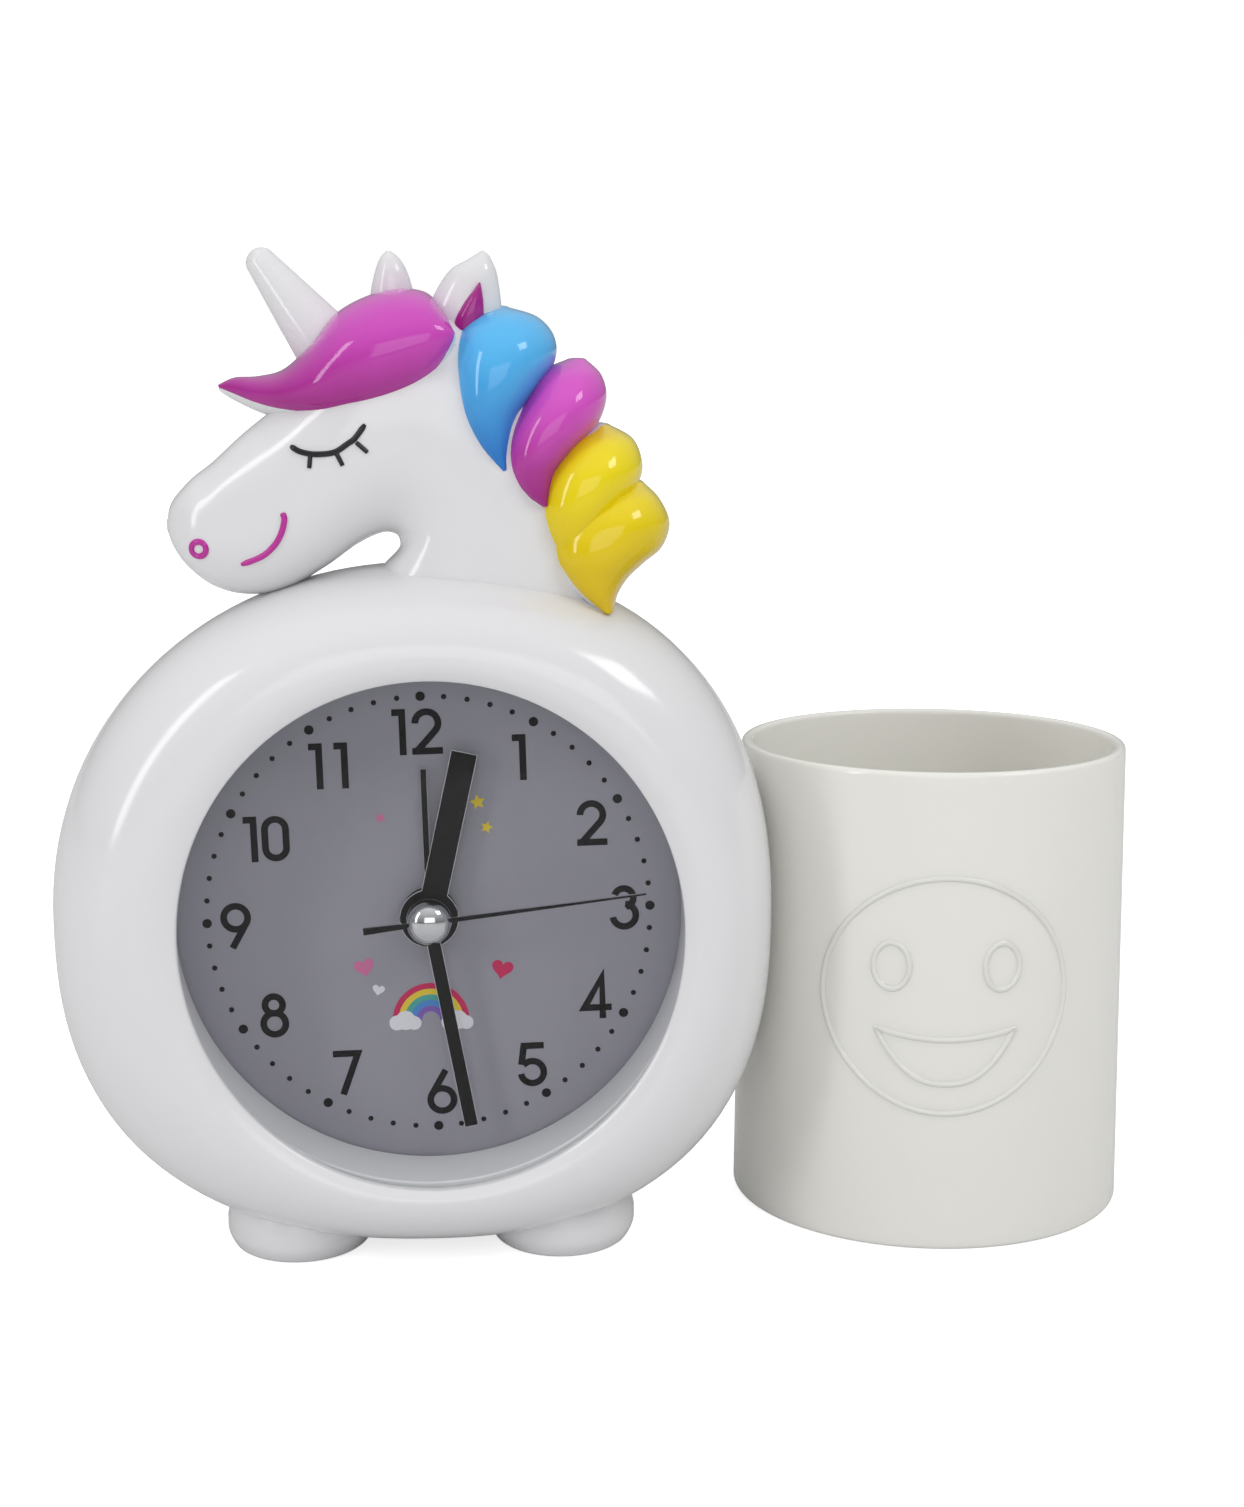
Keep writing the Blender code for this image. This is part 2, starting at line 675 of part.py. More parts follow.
def circle_points(radius, count, centre=(0.0, 0.0)):
    return [(centre[0] + radius * cos(tau * k / count), centre[1] + radius * sin(tau * k / count))
            for k in range(count)]


def rectangle_points(low_x, low_y, high_x, high_y):
    return [(low_x, low_y), (high_x, low_y), (high_x, high_y), (low_x, high_y)]


def eased(value, fullness):
    """A sine or cosine bent towards a box by a superellipse's power."""
    return copysign(abs(value) ** (2 / fullness), value)


# Body of the clock
def body_edge(angle):
    """Distance from the dial axis to the body's outline."""
    across, up = cos(angle), sin(angle)
    if up >= 0:
        fullness = UPPER_RIGHT_FULLNESS if across >= 0 else UPPER_LEFT_FULLNESS
    else:
        fullness = LOWER_RIGHT_FULLNESS if across >= 0 else LOWER_LEFT_FULLNESS
    width = BODY_RIGHT if across >= 0 else BODY_LEFT
    height = BODY_TOP if up >= 0 else BODY_BOTTOM
    return (abs(across / width) ** fullness + abs(up / height) ** fullness) ** (-1 / fullness)


def quarter(edge, crest_radius, start, crest, fullness, steps=PROFILE_STEPS):
    """Radius and height from the parting plane to the crest, as a rounded quarter."""
    points = []
    for k in range(steps + 1):
        angle = k / steps * pi / 2
        radius = crest_radius + (edge - crest_radius) * eased(cos(angle), fullness)
        points.append((radius, start + (crest - start) * eased(sin(angle), fullness)))
    points[-1] = (crest_radius, crest)
    return points


def roll(crest_radius, crest, end_radius, end):
    """Radius and height from just past the crest to the edge of an opening."""
    points = []
    for k in range(1, ROLL_STEPS + 1):
        share = k / ROLL_STEPS
        points.append((crest_radius + (end_radius - crest_radius) * share,
                       crest + (end - crest) * share ** 2))
    return points


def front_skin(edge):
    crest_radius = edge - FRONT_CREST_SHARE * (edge - OPENING_RADIUS)
    parting = -PARTING_DEPTH + GAP / 2
    return (quarter(edge, crest_radius, parting, FRONT_DEPTH, FRONT_FULLNESS)
            + roll(crest_radius, FRONT_DEPTH, OPENING_RADIUS, OPENING_DEPTH))


def rear_skin(edge):
    crest_radius = edge - BACK_CREST_SHARE * (edge - BACK_OPENING_RADIUS)
    parting = -PARTING_DEPTH - GAP / 2
    return (quarter(edge, crest_radius, parting, -BACK_DEPTH, BACK_FULLNESS)
            + roll(crest_radius, -BACK_DEPTH, BACK_OPENING_RADIUS, -BACK_EDGE_DEPTH))


def front_section(edge):
    """The front shell's closed section: skin, lip, lens seat and inner skin."""
    seat_top = OPENING_DEPTH - LIP_THICKNESS
    parting = -PARTING_DEPTH + GAP / 2
    tube_radius = SEAT_RADIUS + SHELL_WALL
    inner = quarter(edge - SHELL_WALL, tube_radius, parting, FRONT_DEPTH - SHELL_WALL, FRONT_FULLNESS,
                    INNER_STEPS)
    return front_skin(edge) + [
        (OPENING_RADIUS, seat_top), (SEAT_RADIUS, seat_top), (SEAT_RADIUS, parting),
        (tube_radius, parting),
    ] + inner[::-1]


def rear_section(edge):
    """The rear shell's closed section: skin, recess wall, cover ledge and inner skin."""
    parting = -PARTING_DEPTH - GAP / 2
    tube_radius = BACK_OPENING_RADIUS + SHELL_WALL
    ledge_front = -(COVER_FRONT - LEDGE_THICKNESS)
    inner = quarter(edge - SHELL_WALL, tube_radius, parting, -(BACK_DEPTH - SHELL_WALL), BACK_FULLNESS,
                    INNER_STEPS)
    return rear_skin(edge) + [
        (BACK_OPENING_RADIUS, -COVER_FRONT), (LEDGE_RADIUS, -COVER_FRONT),
        (LEDGE_RADIUS, ledge_front), (tube_radius, ledge_front),
    ] + inner[::-1]


def round_body(section):
    """Rings round the dial axis for a section that follows the body's outline."""
    angles = [tau * k / AROUND_BODY for k in range(AROUND_BODY)]
    sections = [section(body_edge(angle)) for angle in angles]
    return [[(s[i][0] * cos(a), s[i][0] * sin(a), s[i][1]) for s, a in zip(sections, angles)]
            for i in range(len(sections[0]))]


def body_solid(name, grow):
    """The whole body's outside as a solid, grown or shrunk."""
    rings = round_body(lambda edge: rear_skin(edge)[::-1]) + round_body(front_skin)
    return tool(placed(name, lofted(name, rings, grow=grow), DIAL_FRAME))


def bosses(name, rods, core):
    """Bosses that end inside the wall of a shell."""
    return boolean(tool(placed(name, rods_mesh(name, rods), DIAL_FRAME)), "INTERSECT", core)


def on_circle(radius, angle, depth):
    return (radius * cos(angle), radius * sin(angle), depth)


def neck_pegs(side):
    """Pegs under one half of the head, as rods in the dial's frame."""
    depth = -PARTING_DEPTH + side * NECK_PEG_DEPTH
    return [((x, NECK_PEG_TOP, depth), (x, NECK_PEG_TOP - NECK_PEG_LENGTH, depth)) for x in NECK_PEG_XS]


def peg_holes(name, side):
    rods = [((x, y + OVERRUN, z), (x, BODY_TOP - NECK_PEG_LENGTH, z), NECK_PEG_RADIUS + GAP)
            for (x, y, z), _ in neck_pegs(side)]
    return tool(placed(name, rods_mesh(name, rods), DIAL_FRAME))


def front_shell(core):
    shell = placed("front_shell", lofted("front_shell", round_body(front_section), closed=True), DIAL_FRAME)
    parting = -PARTING_DEPTH + GAP / 2
    pillars = [(on_circle(SHELL_BOSS_CIRCLE, a, parting), on_circle(SHELL_BOSS_CIRCLE, a, FRONT_DEPTH),
                SHELL_BOSS_RADIUS) for a in SHELL_SCREW_ANGLES]
    holes = [(on_circle(SHELL_BOSS_CIRCLE, a, parting - OVERRUN),
              on_circle(SHELL_BOSS_CIRCLE, a, parting + SHELL_SCREW_LENGTH - SHELL_SCREW_GRIP + OVERRUN),
              SCREW_SHANK_RADIUS + GAP) for a in SHELL_SCREW_ANGLES]
    join(shell, bosses("front_bosses", pillars, core))
    cut(shell, tool(placed("front_boss_holes", rods_mesh("front_boss_holes", holes, 6), DIAL_FRAME)),
        peg_holes("front_peg_holes", 1))
    return piece(shell, WHITE_ABS)


def rear_shell(core):
    shell = placed("rear_shell", lofted("rear_shell", round_body(rear_section), closed=True), DIAL_FRAME)
    parting = -PARTING_DEPTH - GAP / 2
    seat = parting - SHELL_SCREW_GRIP
    towers = [(on_circle(SHELL_BOSS_CIRCLE, a, parting), on_circle(SHELL_BOSS_CIRCLE, a, -BACK_DEPTH),
               REAR_BOSS_RADIUS) for a in SHELL_SCREW_ANGLES]
    holes = [(on_circle(SHELL_BOSS_CIRCLE, a, parting + OVERRUN),
              on_circle(SHELL_BOSS_CIRCLE, a, seat - OVERRUN), SCREW_SHANK_RADIUS + GAP)
             for a in SHELL_SCREW_ANGLES]
    wells = [(on_circle(SHELL_BOSS_CIRCLE, a, seat), on_circle(SHELL_BOSS_CIRCLE, a, -BACK_DEPTH - OVERRUN),
              SCREW_HEAD_RADIUS + GAP) for a in SHELL_SCREW_ANGLES]
    pillars = [(on_circle(COVER_BOSS_CIRCLE, a, -COVER_FRONT),
                on_circle(COVER_BOSS_CIRCLE, a, -COVER_FRONT + COVER_BOSS_LENGTH), COVER_BOSS_RADIUS)
               for a in COVER_SCREW_ANGLES]
    pilots = [(on_circle(COVER_BOSS_CIRCLE, a, -COVER_FRONT - OVERRUN),
               on_circle(COVER_BOSS_CIRCLE, a, -COVER_FRONT + COVER_SCREW_LENGTH),
               SCREW_SHANK_RADIUS + GAP) for a in COVER_SCREW_ANGLES]
    join(shell, bosses("rear_bosses", towers, core), cup_boss(core),
         tool(placed("cover_pillars", rods_mesh("cover_pillars", pillars), DIAL_FRAME)))
    cut(shell, tool(placed("rear_boss_holes", rods_mesh("rear_boss_holes", holes, 6), DIAL_FRAME)),
        tool(placed("rear_boss_wells", rods_mesh("rear_boss_wells", wells), DIAL_FRAME)),
        tool(placed("cover_pilots", rods_mesh("cover_pilots", pilots, 6), DIAL_FRAME)),
        peg_holes("rear_peg_holes", -1), CUP_SCREW_HOLES, cup_cutter("cup_saddle", GAP))
    return piece(shell, WHITE_ABS)


# Screws
def screw(name, length, parent, location, rotation):
    """A screw whose head seats at its origin and whose shank runs down local -Z."""
    profile = [
        (0.0, SCREW_HEAD_HEIGHT), (SCREW_HEAD_RADIUS * 0.7, SCREW_HEAD_HEIGHT),
        (SCREW_HEAD_RADIUS, SCREW_HEAD_HEIGHT / 2), (SCREW_HEAD_RADIUS, 0.0), (SCREW_SHANK_RADIUS, 0.0),
        (SCREW_SHANK_RADIUS, -(length - SCREW_POINT)), (0.0, -length),
    ]
    return piece(turned(name, profile, parent, location, rotation, steps=AROUND_SCREW), STEEL)


def shell_screws():
    seat = -PARTING_DEPTH - GAP / 2 - SHELL_SCREW_GRIP - GAP
    for number, angle in enumerate(SHELL_SCREW_ANGLES, 1):
        screw("shell_screw_%d" % number, SHELL_SCREW_LENGTH, DIAL_FRAME,
              on_circle(SHELL_BOSS_CIRCLE, angle, seat), (pi, 0.0, 0.0))


def cover_screws():
    for number, angle in enumerate(COVER_SCREW_ANGLES, 1):
        screw("cover_screw_%d" % number, COVER_SCREW_LENGTH, DIAL_FRAME,
              on_circle(COVER_BOSS_CIRCLE, angle, -COVER_BACK - GAP), (pi, 0.0, 0.0))


# Head of the unicorn
def smoothed(rows, steps):
    """Rows of shares joined by a Catmull-Rom curve, with steps between two rows."""
    last = len(rows) - 1
    found = []
    for i in range(last):
        near = [rows[min(max(i + k, 0), last)] for k in (-1, 0, 1, 2)]
        for s in range(steps):
            t = s / steps
            found.append([
                0.5 * (2 * b + (c - a) * t + (2 * a - 5 * b + 4 * c - d) * t ** 2
                       + (3 * b - a - 3 * c + d) * t ** 3)
                for a, b, c, d in zip(*near)
            ])
    found.append(list(rows[last]))
    return found


def head_point(x_share, y_share):
    return Vector((x_share * HEAD_LENGTH - HEAD_LEFT, y_share * HEAD_HEIGHT + HEAD_BASE, 0.0))


def ribbed(name, shares, flatness, steps=2, around=10, **loft_options):
    """A swelling form through ribs across it, each a rounded section."""
    rings = []
    for x1, y1, x2, y2, thick in smoothed(shares, steps):
        first, second = head_point(x1, y1), head_point(x2, y2)
        middle, half = (first + second) / 2, (first - second) / 2
        depth = Vector((0.0, 0.0, thick * HEAD_THICKNESS / 2))
        rings.append([
            middle + half * eased(cos(turn), flatness) + depth * eased(sin(turn), flatness)
            for turn in [tau * k / around for k in range(around)]
        ])
    return lofted(name, rings, **loft_options)


def on_head(name, mesh, forward=0.0):
    return placed(name, mesh, DIAL_FRAME, (0.0, 0.0, forward - PARTING_DEPTH))


def grown(name, shares, flatness, forward=0.0, **options):
    mesh = ribbed(name, shares, flatness, grow=GAP, **options)
    return tool(on_head(name, mesh, forward))


def horn_mesh_profile(grow):
    length = HORN_AXIS.length
    tip = HORN_TIP_RADIUS + grow
    arc = [(tip * sin(a), length + tip * cos(a)) for a in [k / 4 * radians(70) for k in range(5)]]
    arc[0] = (0.0, length + tip)
    return arc + [(HORN_BASE_RADIUS + grow, 0.0), (0.0, 0.0)]


def horn_form(name, grow=0.0):
    lean = atan2(HORN_AXIS.x, HORN_AXIS.y)
    return turned(name, horn_mesh_profile(grow), DIAL_FRAME, (HORN_BASE_X, HORN_BASE_Y, -PARTING_DEPTH),
                  (radians(-90), 0.0, -lean), steps=12)


def neck_peg_tool(name, side):
    rods = [(top, low, NECK_PEG_RADIUS) for top, low in neck_pegs(side)]
    return tool(placed(name, rods_mesh(name, rods), DIAL_FRAME))


def head(blank):
    for name, side in (("head_front", 1), ("head_rear", -1)):
        half = on_head(name, ribbed(name, HEAD_shares, HEAD_FLATNESS, around=12, keep_side=side))
        cut(half, blank)
        join(half, neck_peg_tool(name + "_pegs", side))
        piece(half, WHITE_ABS)


def hair_and_ears(blank):
    head_blank = grown("head_blank", HEAD_shares, HEAD_FLATNESS, around=12)
    forelock_blank = grown("forelock_blank", FORELOCK_shares, LOCK_FLATNESS)
    blue_blank = grown("blue_blank", BLUE_LOCK_shares, LOCK_FLATNESS)
    pink_blank = grown("pink_blank", PINK_LOCK_shares, LOCK_FLATNESS)
    near_ear_blank = grown("near_ear_blank", NEAR_EAR_shares, EAR_FLATNESS, NEAR_EAR_FORWARD, steps=1)

    forelock = on_head("forelock", ribbed("forelock", FORELOCK_shares, LOCK_FLATNESS))
    piece(cut(forelock, head_blank), MAGENTA)
    blue = on_head("blue_lock", ribbed("blue_lock", BLUE_LOCK_shares, LOCK_FLATNESS))
    piece(cut(blue, head_blank), SKY_BLUE)
    pink = on_head("pink_lock", ribbed("pink_lock", PINK_LOCK_shares, LOCK_FLATNESS))
    piece(cut(pink, head_blank, blue_blank), MAGENTA)
    yellow = on_head("yellow_lock", ribbed("yellow_lock", YELLOW_UPPER_shares, LOCK_FLATNESS))
    lower = tool(on_head("yellow_lower", ribbed("yellow_lower", YELLOW_LOWER_shares, LOCK_FLATNESS)))
    join(yellow, lower)
    piece(cut(yellow, pink_blank, blank, head_blank), YELLOW)

    horn = horn_form("horn")
    piece(cut(horn, head_blank, forelock_blank), WHITE_ABS)
    near_ear = on_head("near_ear", ribbed("near_ear", NEAR_EAR_shares, EAR_FLATNESS, steps=1),
                       NEAR_EAR_FORWARD)
    piece(cut(near_ear, head_blank, forelock_blank, blue_blank), WHITE_ABS)
    far_ear = on_head("far_ear", ribbed("far_ear", FAR_EAR_shares, EAR_FLATNESS, steps=1), FAR_EAR_FORWARD)
    piece(cut(far_ear, head_blank, forelock_blank, near_ear_blank), WHITE_ABS)
    lining = on_head("ear_lining", ribbed("ear_lining", EAR_LINING_shares, EAR_FLATNESS, steps=1),
                     LINING_FORWARD)
    piece(cut(lining, near_ear_blank, blue_blank, head_blank), MAGENTA)


# Feet
def feet(blank):
    for name, x in (("foot_left", FOOT_X_LEFT), ("foot_right", FOOT_X_RIGHT)):
        profile = [(0.0, FOOT_HEIGHT)] + [(r * FOOT_RADIUS, h * FOOT_HEIGHT) for r, h in FOOT_shares] + [
            (FOOT_RADIUS, FOOT_EDGE * 2), (FOOT_RADIUS - FOOT_EDGE * 0.4, FOOT_EDGE),
            (FOOT_RADIUS - FOOT_EDGE, 0.0), (0.0, 0.0)]
        foot = turned(name, profile, FLOOR_FRAME, (x, -FOOT_FORWARD, 0.0), steps=16)
        foot.scale = (1.0, FOOT_LENGTH_RATIO, 1.0)
        piece(cut(foot, blank), WHITE_ABS)


# Pen cup and its bracket
def cup_radius(height):
    """Outer radius of the cup, which widens a little to its base."""
    return CUP_BASE_RADIUS + (CUP_RIM_RADIUS - CUP_BASE_RADIUS) * height / CUP_HEIGHT


def on_cup(x, height):
    """A point of the face, drawn flat and wrapped round the front of the cup."""
    radius = cup_radius(height)
    angle = x / radius
    return (radius * sin(angle), -radius * cos(angle), height)


def oval(centre_x, centre_height, half_width, half_height, count):
    return [on_cup(centre_x + half_width * cos(turn), centre_height + half_height * sin(turn))
            for turn in [tau * k / count for k in range(count)]]


def mouth(count):
    """Two arcs that meet in the mouth's corners."""
    top = FACE_HEIGHT - MOUTH_DROP
    points = []
    for start, end, sag in ((-1.0, 1.0, MOUTH_UPPER_SAG), (1.0, -1.0, MOUTH_LOWER_SAG)):
        for k in range(count):
            share = start + (end - start) * k / count
            points.append(on_cup(share * MOUTH_HALF_WIDTH, top - sag * (1 - share ** 2)))
    return points


def cup_cutter(name, grow):
    """The cup's outside, grown by the clearance."""
    profile = [(0.0, CUP_HEIGHT), (CUP_RIM_RADIUS + grow, CUP_HEIGHT), (CUP_BASE_RADIUS + grow, 0.0),
               (0.0, 0.0)]
    return tool(turned(name, profile, CUP_FRAME, steps=AROUND_CUP))


def cup_screw_places():
    return [(CUP_X - cup_radius(height) + CUP_WALL + GAP, CUP_SCREW_DEPTH, height)
            for height in (CUP_SCREW_LOW, CUP_SCREW_HIGH)]


def cup_screw_holes():
    rods = [((x + CUP_WALL, y, h), (x - CUP_SCREW_LENGTH - GAP, y, h), SCREW_SHANK_RADIUS + GAP)
            for x, y, h in cup_screw_places()]
    return tool(placed("cup_screw_holes", rods_mesh("cup_screw_holes", rods, 6), FLOOR_FRAME))


CUP_SCREW_HOLES = cup_screw_holes()


def cup_boss(core):
    """Bosses inside the rear shell that the cup's screws bite into."""
    rods = [((BACK_OPENING_RADIUS + PRESS_GAP, y, h), (BODY_RIGHT, y, h), CUP_BOSS_RADIUS)
            for _, y, h in cup_screw_places()]
    bosses = tool(placed("cup_bosses", rods_mesh("cup_bosses", rods), FLOOR_FRAME))
    return boolean(bosses, "INTERSECT", core)


def pen_cup():
    profile = [
        (0.0, CUP_FLOOR), (CUP_BASE_RADIUS - CUP_WALL, CUP_FLOOR),
        (CUP_RIM_RADIUS - CUP_WALL, CUP_HEIGHT - RIM_ROUNDING),
        (CUP_RIM_RADIUS - CUP_WALL + RIM_ROUNDING / 2, CUP_HEIGHT),
        (CUP_RIM_RADIUS - RIM_ROUNDING, CUP_HEIGHT), (CUP_RIM_RADIUS, CUP_HEIGHT - RIM_ROUNDING),
        (CUP_BASE_RADIUS, BASE_ROUNDING), (CUP_BASE_RADIUS - BASE_ROUNDING, 0.0), (0.0, 0.0),
    ]
    cup = turned("pen_cup", profile, CUP_FRAME, steps=AROUND_CUP)
    beads = [
        ("face_rim", oval(0.0, FACE_HEIGHT, FACE_RADIUS, FACE_RADIUS, 22)),
        ("face_eye_left", oval(-EYE_X, FACE_HEIGHT + EYE_RISE, EYE_HALF_WIDTH, EYE_HALF_HEIGHT, 8)),
        ("face_eye_right", oval(EYE_X, FACE_HEIGHT + EYE_RISE, EYE_HALF_WIDTH, EYE_HALF_HEIGHT, 8)),
        ("face_mouth", mouth(7)),
    ]
    for name, points in beads:
        join(cup, tool(tube(name, points, FACE_RIDGE_RADIUS, CUP_FRAME)))
    cut(cup, CUP_SCREW_HOLES)
    return piece(cup, MILK_WHITE)


def cup_bracket(blank):
    low = (BRACKET_INNER, BRACKET_FRONT, BRACKET_LOW)
    high = (CUP_X - CUP_RIM_RADIUS / 2, BRACKET_BACK, BRACKET_HIGH)
    bracket = placed("cup_bracket", box_mesh("cup_bracket", low, high), FLOOR_FRAME)
    cut(bracket, blank, cup_cutter("cup_blank", GAP), CUP_SCREW_HOLES)
    piece(bracket, WHITE_ABS)
    for name, place in zip(("cup_screw_lower", "cup_screw_upper"), cup_screw_places()):
        screw(name, CUP_SCREW_LENGTH, FLOOR_FRAME, place, (0.0, radians(90), 0.0))


# Lens, ring and dial
def window_and_dial():
    seat = OPENING_DEPTH - LIP_THICKNESS - GAP
    radius = SEAT_RADIUS - GAP
    lens_back = seat - LENS_THICKNESS
    lens = [(0.0, seat), (radius, seat), (radius, lens_back), (0.0, lens_back)]
    piece(turned("lens", lens, DIAL_FRAME), CLEAR)
    ring = [(radius, lens_back - GAP), (radius, GAP), (RING_BORE_RADIUS, GAP),
            (RING_BORE_RADIUS, lens_back - GAP)]
    piece(turned("dial_ring", ring, DIAL_FRAME, closed=True), WHITE_ABS)
    dial = [(DIAL_HOLE_RADIUS, 0.0), (radius, 0.0), (radius, -DIAL_THICKNESS),
            (DIAL_HOLE_RADIUS, -DIAL_THICKNESS)]
    piece(turned("dial", dial, DIAL_FRAME, closed=True), PAPER)


# Wheels
def pitch_radius(teeth, module):
    return teeth * module / 2


def toothed(teeth, module, phase):
    """The outline of a wheel, whose teeth come to a point, or of a pinion."""
    root = pitch_radius(teeth, module) - DEDENDUM_SHARE * module
    height = (ADDENDUM_SHARE + DEDENDUM_SHARE) * module
    tooth = PINION_TOOTH_shares if teeth < BIGGEST_PINION else WHEEL_TOOTH_shares
    points = []
    for k in range(teeth):
        for offset, share in tooth:
            angle = phase + tau * (k + offset) / teeth
            radius = root + share * height
            points.append((radius * cos(angle), radius * sin(angle)))
    return points


def meshed_phase(teeth, other_teeth, other_phase, direction):
    """The phase at which a wheel's gap meets the other wheel's tooth.

    direction points from the other wheel's axis to this one's.
    """
    offset = (other_phase - direction) % (tau / other_teeth)
    return direction + pi - offset * other_teeth / teeth + pi / teeth


def away(start, direction, distance):
    return (start[0] + distance * cos(direction), start[1] + distance * sin(direction))


DIAL_AXIS = (0.0, 0.0)
MOTION_DISTANCE = pitch_radius(CENTRE_PINION_TEETH + MOTION_WHEEL_TEETH, MOTION_MODULE)
HOUR_MODULE = 2 * MOTION_DISTANCE / (MOTION_PINION_TEETH + HOUR_WHEEL_TEETH)
THIRD_DISTANCE = pitch_radius(THIRD_WHEEL_TEETH + SECOND_PINION_TEETH, THIRD_WHEEL_MODULE)
CENTRE_WHEEL_MODULE = 2 * THIRD_DISTANCE / (CENTRE_WHEEL_TEETH + THIRD_PINION_TEETH)
FIFTH_DISTANCE = pitch_radius(SECOND_WHEEL_TEETH + FIFTH_PINION_TEETH, SECOND_WHEEL_MODULE)
ROTOR_DISTANCE = pitch_radius(FIFTH_WHEEL_TEETH + ROTOR_PINION_TEETH, SECOND_WHEEL_MODULE)
MOTION_AXIS = away(DIAL_AXIS, MOTION_DIRECTION, MOTION_DISTANCE)
TIME_SET_AXIS = away(MOTION_AXIS, TIME_SET_DIRECTION,
                     pitch_radius(MOTION_WHEEL_TEETH + SET_PINION_TEETH, MOTION_MODULE))
ALARM_SET_AXIS = away(DIAL_AXIS, ALARM_SET_DIRECTION,
                      pitch_radius(ALARM_WHEEL_TEETH + ALARM_PINION_TEETH, HOUR_MODULE))
THIRD_AXIS = away(DIAL_AXIS, THIRD_DIRECTION, THIRD_DISTANCE)
FIFTH_AXIS = away(DIAL_AXIS, FIFTH_DIRECTION, FIFTH_DISTANCE)
ROTOR_AXIS = away(FIFTH_AXIS, ROTOR_DIRECTION, ROTOR_DISTANCE)

ALARM_WHEEL_PHASE = ALARM_SET_DIRECTION
ALARM_PINION_PHASE = meshed_phase(ALARM_PINION_TEETH, ALARM_WHEEL_TEETH, ALARM_WHEEL_PHASE,
                                  ALARM_SET_DIRECTION)
MOTION_WHEEL_PHASE = MOTION_DIRECTION + pi
MOTION_PINION_PHASE = MOTION_DIRECTION + pi
CENTRE_PINION_PHASE = meshed_phase(CENTRE_PINION_TEETH, MOTION_WHEEL_TEETH, MOTION_WHEEL_PHASE,
                                   MOTION_DIRECTION + pi)
HOUR_WHEEL_PHASE = meshed_phase(HOUR_WHEEL_TEETH, MOTION_PINION_TEETH, MOTION_PINION_PHASE,
                                MOTION_DIRECTION + pi)
SET_PINION_PHASE = meshed_phase(SET_PINION_TEETH, MOTION_WHEEL_TEETH, MOTION_WHEEL_PHASE, TIME_SET_DIRECTION)
THIRD_PINION_PHASE = THIRD_DIRECTION + pi
THIRD_WHEEL_PHASE = THIRD_DIRECTION + pi
CENTRE_WHEEL_PHASE = meshed_phase(CENTRE_WHEEL_TEETH, THIRD_PINION_TEETH, THIRD_PINION_PHASE,
                                  THIRD_DIRECTION + pi)
SECOND_PINION_PHASE = meshed_phase(SECOND_PINION_TEETH, THIRD_WHEEL_TEETH, THIRD_WHEEL_PHASE,
                                   THIRD_DIRECTION + pi)
SECOND_WHEEL_PHASE = FIFTH_DIRECTION
FIFTH_PINION_PHASE = meshed_phase(FIFTH_PINION_TEETH, SECOND_WHEEL_TEETH, SECOND_WHEEL_PHASE, FIFTH_DIRECTION)
FIFTH_WHEEL_PHASE = ROTOR_DIRECTION
ROTOR_PINION_PHASE = meshed_phase(ROTOR_PINION_TEETH, FIFTH_WHEEL_TEETH, FIFTH_WHEEL_PHASE, ROTOR_DIRECTION)


def at(axis, depth=0.0):
    """A place on a wheel's axis, a depth behind the dial's face."""
    return (axis[0], axis[1], -depth)


def wheel(name, teeth, module, phase, bore, axis, layer, overlap=0.0):
    """A toothed wheel whose front face lies at a layer's depth."""
    thickness = WHEEL_THICKNESS + overlap
    return plate(name, [toothed(teeth, module, phase), circle_points(bore, AROUND_PIPE)], thickness,
                 DIAL_FRAME, at(axis, layer + thickness / 2))


def pipe(name, bore, radius, front, back, axis, around=AROUND_PIPE):
    """A tube from a height in front of the dial to a depth behind it."""
    profile = [(radius, front), (radius, -back), (bore, -back), (bore, front)]
    return turned(name, profile, DIAL_FRAME, at(axis), steps=around, closed=True)


